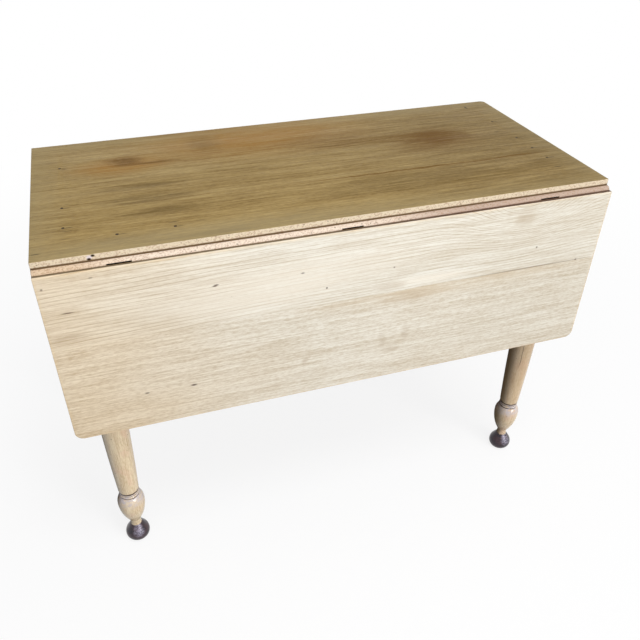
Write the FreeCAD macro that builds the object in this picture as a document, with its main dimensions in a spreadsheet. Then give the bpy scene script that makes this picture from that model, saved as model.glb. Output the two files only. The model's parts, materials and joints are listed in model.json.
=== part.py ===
"""Drop-leaf table: a two-board fixed top, two leaves on rule joints, a pegged frame and turned legs.

The origin is on the floor under the middle of the top. X runs along the leaves, -Y is the front,
Z is up, and every size is in millimetres.
"""
import FreeCAD, Part
import os
import re
import Sketcher

SIZES = {
    # Fixed top and leaves
    "top_length": 1030,
    "top_depth": 473,
    "table_height": 738,
    "board_thickness": 21,
    "front_board_width": 156,
    "leaf_drop": 339,
    "leaf_upper_width": 139,
    "leaf_corner_radius": 16,
    # Rule joint
    "ovolo_radius": 9,
    "rule_gap": 0.5,
    "tip_gap": 0.4,
    # Leg places and square posts
    "leg_inset_end": 63,
    "leg_inset_side": 53,
    "post_width": 64,
    "post_length": 127,
    # Ball foot
    "foot_height": 44,
    "foot_base_radius": 11,
    "foot_belly_height": 21,
    "foot_belly_radius": 27,
    "spigot_radius": 7,
    "spigot_length": 30,
    "spigot_room": 1,
    # Turned leg, from the foot upwards
    "neck_base_radius": 13.5,
    "neck_rise": 10,
    "neck_radius": 13,
    "throat_rise": 5.2,
    "throat_radius": 14.4,
    "belly_rise": 54.8,
    "belly_radius": 29.7,
    "shoulder_rise": 24,
    "shoulder_radius": 25,
    "groove_radius": 21.5,
    "groove_width": 1.6,
    "bead_width": 4.5,
    "bead_radius": 24.2,
    "collar_width": 2.2,
    "collar_radius": 23.8,
    "column_toe_rise": 6,
    "column_toe_radius": 24.6,
    "column_swell_radius": 30.5,
    "column_swell_drop": 136,
    "column_top_radius": 28.5,
    "upper_groove_radius": 25,
    "upper_bead_width": 10,
    "upper_bead_radius": 31,
    "pommel_rise": 10,
    "pommel_radius": 31.5,
    # Rails, tenons and pegs
    "rail_thickness": 22,
    "rail_height": 110,
    "end_rail_setback": 10,
    "tenon_thickness": 10,
    "tenon_height": 80,
    "side_tenon_length": 30,
    "end_tenon_length": 25,
    "joint_gap": 0.15,
    "mortise_room": 1,
    "peg_radius": 4,
    "peg_spread": 20,
    "side_peg_length": 44,
    "end_peg_length": 36,
    # Fly rails and their wooden knuckles
    "fly_thickness": 20,
    "fly_height": 70,
    "fly_back_gap": 0.6,
    "fly_top_gap": 1,
    "fly_axis": 110,
    "knuckle_gap": 0.5,
    "finger_gap": 0.3,
    "bracket_length": 190,
    "bracket_tip_height": 24,
    "ogee_length": 90,
    "fly_pin_radius": 2.5,
    # Iron hinges of the leaves
    "hinge_inset": 129,
    "hinge_width": 38,
    "middle_knuckle_width": 14,
    "knuckle_radius": 3.4,
    "hinge_pin_radius": 1.6,
    "running_fit": 0.05,
    "plate_thickness": 2,
    "knuckle_room": 0.8,
    "fixed_plate_reach": 28,
    "leaf_plate_reach": 48,
    "gain_room": 0.4,
    # Screws and nails
    "driven_fit": 0.05,
    "screw_head_radius": 3.5,
    "screw_head_height": 1.75,
    "screw_shank_radius": 1.75,
    "screw_tip": 3,
    "hinge_screw_length": 14,
    "fly_screw_length": 34,
    "screw_spread": 11,
    "fixed_screw_near": 14,
    "fixed_screw_far": 22,
    "leaf_screw_near": 20,
    "leaf_screw_far": 38,
    "fly_screw_spread": 60,
    "fly_screw_rise": 18,
    "nail_set": 0.4,
    "nail_head_radius": 3,
    "nail_head_height": 1.2,
    "nail_shank_radius": 1.4,
    "nail_tip": 4,
    "nail_length": 50,
    # Nails through the top, each measured from a post: the back ones from the rear posts,
    # the two along the front rail from the left post, and the others from the front posts
    "left_back_nail": 38.5,
    "left_middle_nail": 89.5,
    "left_front_nail": 14.5,
    "right_back_nail": 49.5,
    "right_middle_nail": 152,
    "right_inner_nail": 92.5,
    "right_front_nail": 39.5,
    "front_outer_nail": 39,
    "front_inner_nail": 132,
}

# Places worked out from the driving sizes
UNDERSIDE = "(table_height - board_thickness)"
PIN_Y = "(top_depth / 2)"
PIN_Z = f"({UNDERSIDE} + knuckle_radius)"
LIP = "(board_thickness - knuckle_radius)"
COVE_RADIUS = "(ovolo_radius + rule_gap)"
KNUCKLE_REACH = "(knuckle_radius + knuckle_room)"
LEG_X = "(top_length / 2 - leg_inset_end)"
LEG_Y = "(top_depth / 2 - leg_inset_side)"
POST_BASE = f"({UNDERSIDE} - post_length)"
POST_INNER_X = f"({LEG_X} - post_width / 2)"
POST_OUTER_X = f"({LEG_X} + post_width / 2)"
POST_INNER_Y = f"({LEG_Y} - post_width / 2)"
POST_OUTER_Y = f"({LEG_Y} + post_width / 2)"
RAIL_BASE = f"({UNDERSIDE} - rail_height)"
RAIL_MIDDLE = f"({UNDERSIDE} - rail_height / 2)"
SIDE_RAIL_OUTER = f"({POST_OUTER_Y} - fly_thickness - fly_back_gap)"
SIDE_RAIL_MIDDLE = f"({SIDE_RAIL_OUTER} - rail_thickness / 2)"
END_RAIL_OUTER = f"({POST_OUTER_X} - end_rail_setback)"
END_RAIL_MIDDLE = f"({END_RAIL_OUTER} - rail_thickness / 2)"
FLY_TOP = f"({UNDERSIDE} - fly_top_gap)"
FLY_BASE = f"({FLY_TOP} - fly_height)"
FLY_MIDDLE_Y = f"({POST_OUTER_Y} - fly_thickness / 2)"
FLY_SHOULDER = "(fly_thickness / 2 + knuckle_gap)"
FINGERS = 5
FINGER_PITCH = f"(fly_height / {FINGERS})"

SIDES = {"front": -1, "rear": 1}
ENDS = {"left": -1, "right": 1}
HINGE_PLACES = {"left": -1, "middle": 0, "right": 1}

X_AXIS = FreeCAD.Vector(1, 0, 0)
Y_AXIS = FreeCAD.Vector(0, 1, 0)
Z_AXIS = FreeCAD.Vector(0, 0, 1)

doc = FreeCAD.newDocument("drop_leaf_table")
sheet = doc.addObject("Spreadsheet::Sheet", "sizes")
for row, (alias, number) in enumerate(SIZES.items(), start=1):
    sheet.set(f"A{row}", alias)
    sheet.set(f"B{row}", str(number))
    sheet.setAlias(f"B{row}", alias)
doc.recompute()

ALIAS = re.compile(r"\b(" + "|".join(SIZES) + r")\b")
sub_parts = []


def cells(text):
    """Point each size named in an expression at its cell of the sheet."""
    return ALIAS.sub(r"sizes.\1", text)


def value(text):
    """Work out an expression with the sheet's present numbers."""
    return float(sheet.evalExpression(cells(text)))


def bind(obj, **expressions):
    """Tie properties of an object to expressions."""
    for name, text in expressions.items():
        obj.setExpression(name, cells(text))


def place(obj, x, y, z, axis=Z_AXIS, angle=0):
    """Turn an object about an axis and tie its position to expressions."""
    obj.Placement = FreeCAD.Placement(FreeCAD.Vector(), FreeCAD.Rotation(axis, angle))
    for name, text in zip("xyz", (x, y, z)):
        obj.setExpression(f"Placement.Base.{name}", cells(text))


def span(sign, near, far):
    """Give a stretch from near to far on the side of the middle plane that sign names."""
    return (near, far) if sign > 0 else (f"-({far})", f"-({near})")


def about(middle, width):
    """Give a stretch of a given width about a middle."""
    return (f"{middle} - ({width}) / 2", f"{middle} + ({width}) / 2")


def side_of(sign, distance):
    """Give a signed distance from the middle plane."""
    return f"{sign} * ({distance})"


def block(name, x, y, z):
    """Make a box from its three stretches."""
    box = doc.addObject("Part::Box", name)
    bind(box, Length=f"({x[1]}) - ({x[0]})", Width=f"({y[1]}) - ({y[0]})", Height=f"({z[1]}) - ({z[0]})")
    place(box, x[0], y[0], z[0])
    return box


def rod(name, radius, length, x, y, z, axis=Z_AXIS, angle=0):
    """Make a cylinder that starts at a point and runs along its turned Z axis."""
    cylinder = doc.addObject("Part::Cylinder", name)
    bind(cylinder, Radius=radius, Height=length)
    place(cylinder, x, y, z, axis, angle)
    return cylinder


def group(name, members):
    """Gather separate solids in one compound."""
    compound = doc.addObject("Part::Compound", name)
    compound.Links = members
    return compound


def fused(name, members):
    """Join overlapping or touching solids into one."""
    fusion = doc.addObject("Part::MultiFuse", name)
    fusion.Shapes = members
    return fusion


def cut(name, base, tools):
    """Take a list of tools away from a solid."""
    result = doc.addObject("Part::Cut", name)
    result.Base = base
    result.Tool = tools[0] if len(tools) == 1 else group(f"{name}_tools", tools)
    return result


def keep(obj, label):
    """Register a finished piece under the name of its node."""
    obj.Label = label
    sub_parts.append(obj)
    return obj


def arc_between(start, end, tangent):
    """Make the short arc between two points that is upright or level at its start or end."""
    turning = end if tangent.endswith("end") else start
    other = start if tangent.endswith("end") else end
    dx = other.x - turning.x
    dy = other.y - turning.y
    if tangent.startswith("upright"):
        center = FreeCAD.Vector(turning.x + (dx * dx + dy * dy) / (2 * dx), turning.y, 0)
    else:
        center = FreeCAD.Vector(turning.x, turning.y + (dx * dx + dy * dy) / (2 * dy), 0)
    circle = Part.Circle(center, Z_AXIS, (turning - center).Length)
    ends = (start, end) if runs_left(center, start, end) else (end, start)
    return Part.ArcOfCircle(circle, circle.parameter(ends[0]), circle.parameter(ends[1]))


def runs_left(center, start, end):
    """Tell whether the short way round a centre from start to end is anticlockwise."""
    return (start - center).cross(end - center).z > 0


def outline(body, plane, corners):
    """Draw a closed outline in a body, each corner tied to the sheet.

    A corner is (x, y) with a straight line to the next corner, or (x, y, tangent) with an arc.
    """
    sketch = body.newObject("Sketcher::SketchObject", "Outline")
    origin_plane = [feature for feature in body.Origin.OriginFeatures if feature.Role == plane][0]
    sketch.AttachmentSupport = (origin_plane, [""])
    sketch.MapMode = "FlatFace"
    points = [FreeCAD.Vector(value(corner[0]), value(corner[1]), 0) for corner in corners]
    count = len(points)
    for index, corner in enumerate(corners):
        start = points[index]
        end = points[(index + 1) % count]
        edge = arc_between(start, end, corner[2]) if len(corner) > 2 else Part.LineSegment(start, end)
        sketch.addGeometry(edge, False)
    start_of = {}
    end_of = {}
    for index, corner in enumerate(corners):
        start = points[index]
        end = points[(index + 1) % count]
        edge = sketch.Geometry[index]
        clockwise = len(corner) > 2 and not runs_left(edge.Center, start, end)
        start_of[index] = 2 if clockwise else 1
        end_of[index] = 1 if clockwise else 2
    for index, corner in enumerate(corners):
        following = (index + 1) % count
        sketch.addConstraint(
            Sketcher.Constraint("Coincident", index, end_of[index], following, start_of[following]))
        if len(corner) > 2:
            line_up = "Horizontal" if corner[2].startswith("upright") else "Vertical"
            touching = end_of[index] if corner[2].endswith("end") else start_of[index]
            sketch.addConstraint(Sketcher.Constraint(line_up, index, 3, index, touching))
    for index, corner in enumerate(corners):
        for kind, axis, text, number in (
            ("DistanceX", -2, corner[0], points[index].x),
            ("DistanceY", -1, corner[1], points[index].y),
        ):
            if text == "0":
                sketch.addConstraint(
                    Sketcher.Constraint("PointOnObject", index, start_of[index], axis))
                continue
            made = sketch.addConstraint(
                Sketcher.Constraint(kind, -1, 1, index, start_of[index], number))
            sketch.renameConstraint(made, f"{kind}{index}")
            sketch.setExpression(f"Constraints.{kind}{index}", cells(text))
    return sketch


def padded(name, plane, corners, thickness):
    """Make a body from an outline, padded evenly to both sides of its plane."""
    body = doc.addObject("PartDesign::Body", name)
    sketch = outline(body, plane, corners)
    pad = body.newObject("PartDesign::Pad", f"{name}_pad")
    pad.Profile = sketch
    pad.SideType = "Symmetric"
    bind(pad, Length=thickness)
    return body


def turned(name, corners):
    """Make a body turned about Z from half of its section, radius first."""
    body = doc.addObject("PartDesign::Body", name)
    sketch = outline(body, "XZ_Plane", corners)
    revolution = body.newObject("PartDesign::Revolution", f"{name}_turning")
    revolution.Profile = sketch
    revolution.ReferenceAxis = (sketch, ["V_Axis"])
    revolution.Angle = 360
    return body


def copies(master, name, places):
    """Set a copy of a master piece at each (x, y, z, axis, angle)."""
    links = []
    for number, (x, y, z, axis, angle) in enumerate(places, start=1):
        link = doc.addObject("App::Link", f"{name}_{number}")
        link.LinkedObject = master
        place(link, x, y, z, axis, angle)
        links.append(link)
    return links


def screw_corners(length, fit):
    """Half section of a countersunk screw that points along Z from its flush head."""
    shank = f"screw_shank_radius + {fit}"
    return [
        ("0", "0"),
        (f"screw_head_radius + {fit}", "0"),
        (shank, f"screw_head_height + {fit}"),
        (shank, f"{length} - screw_tip"),
        ("0", f"{length} + {fit}"),
    ]


def nail_corners(top, fit):
    """Half section of a nail that points along Z, its head sunk below the surface."""
    head = f"nail_head_radius + {fit}"
    shank = f"nail_shank_radius + {fit}"
    neck = f"nail_set + nail_head_height + {fit}"
    return [
        ("0", top),
        (head, top),
        (head, neck),
        (shank, neck),
        (shank, "nail_length - nail_tip"),
        ("0", f"nail_length + {fit}"),
    ]


# Masters of the fasteners, and of the holes that they fill
hinge_screw = turned("hinge_screw_master", screw_corners("hinge_screw_length", "0"))
hinge_screw_hole = turned("hinge_screw_hole", screw_corners("hinge_screw_length", "driven_fit"))
fly_screw = turned("fly_screw_master", screw_corners("fly_screw_length", "0"))
fly_screw_hole = turned("fly_screw_hole", screw_corners("fly_screw_length", "driven_fit"))
nail = turned("nail_master", nail_corners("nail_set", "0"))
nail_hole = turned("nail_hole", nail_corners("0", "driven_fit"))
side_peg = rod("side_peg_master", "peg_radius", "side_peg_length", "0", "0", "0")
side_peg_hole = rod("side_peg_hole", "peg_radius + driven_fit", "side_peg_length", "0", "0", "0")
end_peg = rod("end_peg_master", "peg_radius", "end_peg_length", "0", "0", "0")
end_peg_hole = rod("end_peg_hole", "peg_radius + driven_fit", "end_peg_length", "0", "0", "0")

# Nails: down through the top into the end rails and the front rail
END_NAILS = {
    "left": ("left_back_nail", "left_middle_nail", "left_front_nail"),
    "right": ("right_back_nail", "right_middle_nail", "right_inner_nail", "right_front_nail"),
}
nail_places = []
for end, aliases in END_NAILS.items():
    for alias in aliases:
        from_back = "back" in alias
        nail_y = f"{POST_INNER_Y} - {alias}" if from_back else f"{alias} - {POST_INNER_Y}"
        nail_x = side_of(ENDS[end], END_RAIL_MIDDLE)
        nail_places.append((nail_x, nail_y, "table_height", X_AXIS, 180))
for alias in ("front_outer_nail", "front_inner_nail"):
    nail_x = f"{alias} - {POST_INNER_X}"
    nail_places.append((nail_x, f"-({SIDE_RAIL_MIDDLE})", "table_height", X_AXIS, 180))
nail_holes = group("nail_holes", copies(nail_hole, "nail_hole_copy", nail_places))
keep(group("top_nails_group", copies(nail, "nail_copy", nail_places)), "top_nails")


def hinge_x(place_sign):
    """Middle of a hinge along the leaf."""
    return f"{place_sign} * (top_length / 2 - hinge_inset)"


def screw_pattern(place_sign):
    """Places of a plate's three screws: (x, is the far row)."""
    middle = hinge_x(place_sign)
    return [(middle, False), (f"{middle} - screw_spread", True), (f"{middle} + screw_spread", True)]


# Places of the hinge screws, up into the top and outwards into the leaves
fixed_screw_places = {}
leaf_screw_places = {}
for side, sy in SIDES.items():
    fixed_screw_places[side] = []
    leaf_screw_places[side] = []
    for place_sign in HINGE_PLACES.values():
        for x, far in screw_pattern(place_sign):
            inboard = "fixed_screw_far" if far else "fixed_screw_near"
            fixed_y = side_of(sy, f"{PIN_Y} - {inboard}")
            fixed_screw_places[side].append((x, fixed_y, UNDERSIDE, Z_AXIS, 0))
            below = "leaf_screw_far" if far else "leaf_screw_near"
            leaf_y = side_of(sy, f"{PIN_Y} - knuckle_radius")
            leaf_screw_places[side].append((x, leaf_y, f"{PIN_Z} - {below}", X_AXIS, -90 * sy))

all_fixed_screws = fixed_screw_places["front"] + fixed_screw_places["rear"]
keep(group("fixed_screws", copies(hinge_screw, "fixed_screw", all_fixed_screws)), "top_hinge_screws")

fixed_screw_holes = {}
leaf_screw_holes = {}
for side in SIDES:
    fixed_holes = copies(hinge_screw_hole, f"{side}_fixed_hole", fixed_screw_places[side])
    fixed_screw_holes[side] = group(f"{side}_fixed_screw_holes", fixed_holes)
    leaf_holes = copies(hinge_screw_hole, f"{side}_leaf_hole", leaf_screw_places[side])
    leaf_screw_holes[side] = group(f"{side}_leaf_screw_holes", leaf_holes)
    leaf_screws = copies(hinge_screw, f"{side}_leaf_screw", leaf_screw_places[side])
    keep(group(f"{side}_leaf_screws", leaf_screws), f"{side}_leaf_hinge_screws")


def fixed_board(label, side, width):
    """One board of the fixed top, its outer edge worked to a fillet over an ovolo."""
    sy = SIDES[side]
    lower_edge = "-sqrt(ovolo_radius ^ 2 - knuckle_radius ^ 2)"
    corners = [
        ("0", LIP),
        ("0", "ovolo_radius", "level_start"),
        ("-ovolo_radius", "0", "upright_start"),
        (lower_edge, "-knuckle_radius"),
        (width, "-knuckle_radius"),
        (width, LIP),
    ]
    board = padded(f"{label}_body", "YZ_Plane", corners, "top_length")
    place(board, "0", side_of(sy, PIN_Y), PIN_Z, Z_AXIS, 180 if sy > 0 else 0)
    tools = [nail_holes, fixed_screw_holes[side]]
    for name, place_sign in HINGE_PLACES.items():
        middle = hinge_x(place_sign)
        plate_x = about(middle, "hinge_width + 2 * gain_room")
        plate_y = span(sy, f"{PIN_Y} - fixed_plate_reach - gain_room", PIN_Y)
        plate_z = (f"{UNDERSIDE} - gain_room", f"{UNDERSIDE} + plate_thickness")
        tools.append(block(f"{label}_{name}_plate_gain", plate_x, plate_y, plate_z))
        barrel_y = span(sy, f"{PIN_Y} - knuckle_radius - gain_room", f"{PIN_Y} + ovolo_radius + gain_room")
        barrel_z = (f"{UNDERSIDE} - gain_room", f"{PIN_Z} + knuckle_radius + gain_room")
        tools.append(block(f"{label}_{name}_barrel_gain", plate_x, barrel_y, barrel_z))
    keep(cut(f"{label}_cut", board, tools), label)


fixed_board("top_front_board", "front", "front_board_width")
fixed_board("top_rear_board", "rear", "top_depth - front_board_width")


def leaf_boards(side):
    """The two boards of a hanging leaf: the upper one coved at its top, the lower one with round corners."""
    sy = SIDES[side]
    cove_start = f"-sqrt({COVE_RADIUS} ^ 2 - tip_gap ^ 2)"
    cove_end = f"-sqrt({COVE_RADIUS} ^ 2 - knuckle_radius ^ 2)"
    # The cove turns through its lowest point, straight under the pin
    upper_corners = [
        (f"-{LIP}", "-tip_gap"),
        (cove_start, "-tip_gap", "level_end"),
        ("0", f"-{COVE_RADIUS}", "level_start"),
        ("knuckle_radius", cove_end),
        ("knuckle_radius", "-leaf_upper_width"),
        (f"-{LIP}", "-leaf_upper_width"),
    ]
    upper = padded(f"{side}_leaf_upper_body", "YZ_Plane", upper_corners, "top_length")
    place(upper, "0", side_of(sy, PIN_Y), PIN_Z, Z_AXIS, 180 if sy > 0 else 0)
    tools = [leaf_screw_holes[side]]
    for name, place_sign in HINGE_PLACES.items():
        gain_x = about(hinge_x(place_sign), "hinge_width + 2 * gain_room")
        inner_face = f"{PIN_Y} - knuckle_radius"
        gain_y = span(sy, f"{inner_face} - gain_room", f"{inner_face} + plate_thickness")
        gain_z = (f"{PIN_Z} - leaf_plate_reach - gain_room", PIN_Z)
        tools.append(block(f"{side}_leaf_{name}_gain", gain_x, gain_y, gain_z))
    keep(cut(f"{side}_leaf_upper_cut", upper, tools), f"{side}_leaf_upper_board")

    width = "leaf_drop - leaf_upper_width"
    half = "top_length / 2"
    lower_corners = [
        (f"-{half}", "0"),
        (half, "0"),
        (half, f"-({width} - leaf_corner_radius)", "upright_start"),
        (f"{half} - leaf_corner_radius", f"-({width})"),
        (f"-({half} - leaf_corner_radius)", f"-({width})", "level_start"),
        (f"-{half}", f"-({width} - leaf_corner_radius)"),
    ]
    lower = padded(f"{side}_leaf_lower_body", "XZ_Plane", lower_corners, "board_thickness")
    middle_y = f"{PIN_Y} - knuckle_radius + board_thickness / 2"
    place(lower, "0", side_of(sy, middle_y), f"{PIN_Z} - leaf_upper_width")
    keep(lower, f"{side}_leaf_lower_board")


for side in SIDES:
    leaf_boards(side)


def hinge(side, name):
    """One iron hinge: a plate let into the top, a plate let into the leaf, and the pin."""
    sy = SIDES[side]
    label = f"{side}_{name}_hinge"
    middle = hinge_x(HINGE_PLACES[name])
    pin_y = side_of(sy, PIN_Y)
    start = f"{middle} - hinge_width / 2"
    inner_start = f"{middle} - middle_knuckle_width / 2"
    inner_end = f"{middle} + middle_knuckle_width / 2"
    end_knuckle = "(hinge_width - middle_knuckle_width) / 2"
    end_stretches = [(start, inner_start), (inner_end, f"{middle} + hinge_width / 2")]

    fixed_z = (UNDERSIDE, f"{UNDERSIDE} + plate_thickness")
    plate_y = span(sy, f"{PIN_Y} - fixed_plate_reach", f"{PIN_Y} - {KNUCKLE_REACH}")
    strap_y = span(sy, f"{PIN_Y} - {KNUCKLE_REACH}", PIN_Y)
    members = [block(f"{label}_fixed_flap", about(middle, "hinge_width"), plate_y, fixed_z)]
    for number, stretch in enumerate(end_stretches, start=1):
        members.append(block(f"{label}_fixed_strap_{number}", stretch, strap_y, fixed_z))
        members.append(rod(f"{label}_fixed_knuckle_{number}", "knuckle_radius", end_knuckle,
                           stretch[0], pin_y, PIN_Z, Y_AXIS, 90))
    bore = rod(f"{label}_fixed_bore", "hinge_pin_radius", "hinge_width", start, pin_y, PIN_Z, Y_AXIS, 90)
    fixed = cut(f"{label}_fixed_cut", fused(f"{label}_fixed", members), [bore, fixed_screw_holes[side]])
    keep(fixed, f"{label}_top_plate")

    flap_y = span(sy, f"{PIN_Y} - knuckle_radius", f"{PIN_Y} - knuckle_radius + plate_thickness")
    flap_z = (f"{PIN_Z} - leaf_plate_reach", f"{PIN_Z} - {KNUCKLE_REACH}")
    knuckle_width = "middle_knuckle_width - 2 * finger_gap"
    knuckle_start = f"{inner_start} + finger_gap"
    strap_x = (knuckle_start, f"{inner_end} - finger_gap")
    members = [
        block(f"{label}_leaf_flap", about(middle, "hinge_width"), flap_y, flap_z),
        block(f"{label}_leaf_strap", strap_x, flap_y, (f"{PIN_Z} - {KNUCKLE_REACH}", PIN_Z)),
        rod(f"{label}_leaf_knuckle", "knuckle_radius", knuckle_width,
            knuckle_start, pin_y, PIN_Z, Y_AXIS, 90),
    ]
    bore = rod(f"{label}_leaf_bore", "hinge_pin_radius + running_fit", "hinge_width",
               start, pin_y, PIN_Z, Y_AXIS, 90)
    leaf = cut(f"{label}_leaf_cut", fused(f"{label}_leaf", members), [bore, leaf_screw_holes[side]])
    keep(leaf, f"{label}_leaf_plate")

    pin = rod(f"{label}_pin_rod", "hinge_pin_radius", "hinge_width", start, pin_y, PIN_Z, Y_AXIS, 90)
    keep(pin, f"{label}_pin")


for side in SIDES:
    for name in HINGE_PLACES:
        hinge(side, name)


# Places of the pegs: into each post from its outer side face and from its end face
PEG_RISES = ("-peg_spread", "peg_spread")
side_peg_places = {}
end_peg_places = {}
for side, sy in SIDES.items():
    for end, sx in ENDS.items():
        side_peg_x = side_of(sx, f"{POST_INNER_X} + side_tenon_length / 2")
        side_peg_y = side_of(sy, POST_OUTER_Y)
        end_peg_x = side_of(sx, POST_OUTER_X)
        end_peg_y = side_of(sy, f"{POST_INNER_Y} + end_tenon_length / 2")
        side_peg_places[side, end] = []
        end_peg_places[side, end] = []
        for rise in PEG_RISES:
            peg_z = f"{RAIL_MIDDLE} + {rise}"
            side_peg_places[side, end].append((side_peg_x, side_peg_y, peg_z, X_AXIS, 90 * sy))
            end_peg_places[side, end].append((end_peg_x, end_peg_y, peg_z, Y_AXIS, -90 * sx))

pegs = []
side_peg_holes = {}
end_peg_holes = {}
for corner in side_peg_places:
    name = "_".join(corner)
    pegs += copies(side_peg, f"{name}_side_peg", side_peg_places[corner])
    pegs += copies(end_peg, f"{name}_end_peg", end_peg_places[corner])
    side_holes = copies(side_peg_hole, f"{name}_side_peg_hole", side_peg_places[corner])
    side_peg_holes[corner] = group(f"{name}_side_peg_holes", side_holes)
    end_holes = copies(end_peg_hole, f"{name}_end_peg_hole", end_peg_places[corner])
    end_peg_holes[corner] = group(f"{name}_end_peg_holes", end_holes)
keep(group("pegs_group", pegs), "tenon_pegs")


def tenon_z(extra):
    """Height of a tenon, or of its mortise with extra room above and below."""
    return about(RAIL_MIDDLE, f"tenon_height + 2 * {extra}")


def side_tenon(name, sx, sy, extra, room):
    """Tenon of a side rail, or its mortise."""
    x = span(sx, POST_INNER_X, f"{POST_INNER_X} + side_tenon_length + {room}")
    y = span(sy, *about(SIDE_RAIL_MIDDLE, f"tenon_thickness + 2 * {extra}"))
    return block(name, x, y, tenon_z(extra))


def end_tenon(name, sx, sy, extra, room):
    """Tenon of an end rail, or its mortise."""
    x = span(sx, *about(END_RAIL_MIDDLE, f"tenon_thickness + 2 * {extra}"))
    y = span(sy, POST_INNER_Y, f"{POST_INNER_Y} + end_tenon_length + {room}")
    return block(name, x, y, tenon_z(extra))


RAIL_Z = (RAIL_BASE, UNDERSIDE)

# Holes of the screws that hold the middle block of a fly rail to its side rail
fly_screw_places = {}
fly_screw_holes = {}
for side, sy in SIDES.items():
    fly_screw_places[side] = []
    for x in ("-fly_screw_spread", "fly_screw_spread"):
        for rise in ("-fly_screw_rise", "fly_screw_rise"):
            screw_y = side_of(sy, POST_OUTER_Y)
            screw_z = f"{FLY_BASE} + fly_height / 2 + {rise}"
            fly_screw_places[side].append((x, screw_y, screw_z, X_AXIS, 90 * sy))
    holes = copies(fly_screw_hole, f"{side}_fly_screw_hole", fly_screw_places[side])
    fly_screw_holes[side] = group(f"{side}_fly_screw_holes", holes)
all_fly_screws = fly_screw_places["front"] + fly_screw_places["rear"]
keep(group("fly_screws", copies(fly_screw, "fly_screw", all_fly_screws)), "fly_block_screws")

for side, sy in SIDES.items():
    rail_x = (f"-{POST_INNER_X}", POST_INNER_X)
    rail_y = span(sy, f"{SIDE_RAIL_OUTER} - rail_thickness", SIDE_RAIL_OUTER)
    members = [block(f"{side}_rail_bar", rail_x, rail_y, RAIL_Z)]
    tools = [nail_holes, fly_screw_holes[side]]
    for end, sx in ENDS.items():
        members.append(side_tenon(f"{side}_rail_{end}_tenon", sx, sy, "0", "0"))
        tools.append(side_peg_holes[side, end])
    keep(cut(f"{side}_rail_cut", fused(f"{side}_rail_solid", members), tools), f"{side}_rail")

for end, sx in ENDS.items():
    rail_x = span(sx, f"{END_RAIL_OUTER} - rail_thickness", END_RAIL_OUTER)
    rail_y = (f"-{POST_INNER_Y}", POST_INNER_Y)
    members = [block(f"{end}_rail_bar", rail_x, rail_y, RAIL_Z)]
    tools = [nail_holes]
    for side, sy in SIDES.items():
        members.append(end_tenon(f"{end}_rail_{side}_tenon", sx, sy, "0", "0"))
        tools.append(end_peg_holes[side, end])
    keep(cut(f"{end}_rail_cut", fused(f"{end}_rail_solid", members), tools), f"{end}_end_rail")


def leg_corners():
    """Half section of a leg from the bore for its foot to the underside of the square post."""
    bore = "spigot_radius + driven_fit"
    bore_top = "foot_height + spigot_length + spigot_room"
    neck = "foot_height + neck_rise"
    throat = f"{neck} + throat_rise"
    belly = f"{throat} + belly_rise"
    shoulder = f"{belly} + shoulder_rise"
    bead = f"{shoulder} + groove_width"
    collar = f"{bead} + bead_width + groove_width"
    column = f"{collar} + collar_width + groove_width"
    pommel = f"{POST_BASE} - pommel_rise"
    upper_bead = f"{pommel} - groove_width - upper_bead_width"
    column_top = f"{upper_bead} - groove_width"
    return [
        ("0", bore_top),
        (bore, bore_top),
        (bore, "foot_height"),
        ("neck_base_radius", "foot_height", "upright_end"),
        ("neck_radius", neck, "upright_start"),
        ("throat_radius", throat, "upright_end"),
        ("belly_radius", belly, "upright_start"),
        ("shoulder_radius", shoulder),
        ("groove_radius", shoulder),
        ("groove_radius", bead, "upright_end"),
        ("bead_radius", f"{bead} + bead_width / 2", "upright_start"),
        ("groove_radius", f"{bead} + bead_width"),
        ("groove_radius", collar),
        ("collar_radius", collar),
        ("collar_radius", f"{collar} + collar_width"),
        ("groove_radius", f"{collar} + collar_width"),
        ("groove_radius", column, "upright_end"),
        ("column_toe_radius", f"{column} + column_toe_rise", "upright_end"),
        ("column_swell_radius", f"{column_top} - column_swell_drop", "upright_start"),
        ("column_top_radius", column_top),
        ("upper_groove_radius", column_top),
        ("upper_groove_radius", upper_bead, "upright_end"),
        ("upper_bead_radius", f"{upper_bead} + upper_bead_width / 2", "upright_start"),
        ("upper_groove_radius", f"{upper_bead} + upper_bead_width"),
        ("upper_groove_radius", pommel, "upright_end"),
        ("pommel_radius", POST_BASE),
        ("0", POST_BASE),
    ]


FOOT_CORNERS = [
    ("0", "0"),
    ("foot_base_radius", "0", "upright_end"),
    ("foot_belly_radius", "foot_belly_height", "upright_start"),
    ("neck_base_radius", "foot_height"),
    ("spigot_radius", "foot_height"),
    ("spigot_radius", "foot_height + spigot_length"),
    ("0", "foot_height + spigot_length"),
]

for side, sy in SIDES.items():
    for end, sx in ENDS.items():
        label = f"{side}_{end}_leg"
        turning = turned(f"{label}_turning", leg_corners())
        place(turning, side_of(sx, LEG_X), side_of(sy, LEG_Y), "0")
        post_x = span(sx, POST_INNER_X, POST_OUTER_X)
        post_y = span(sy, POST_INNER_Y, POST_OUTER_Y)
        post = block(f"{label}_post", post_x, post_y, (POST_BASE, UNDERSIDE))
        tools = [
            side_tenon(f"{label}_side_mortise", sx, sy, "joint_gap", "mortise_room"),
            end_tenon(f"{label}_end_mortise", sx, sy, "joint_gap", "mortise_room"),
            side_peg_holes[side, end],
            end_peg_holes[side, end],
        ]
        keep(cut(f"{label}_cut", fused(f"{label}_solid", [turning, post]), tools), label)
        foot = turned(f"{side}_{end}_foot_turning", FOOT_CORNERS)
        place(foot, side_of(sx, LEG_X), side_of(sy, LEG_Y), "0")
        keep(foot, f"{side}_{end}_ball_foot")


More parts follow.
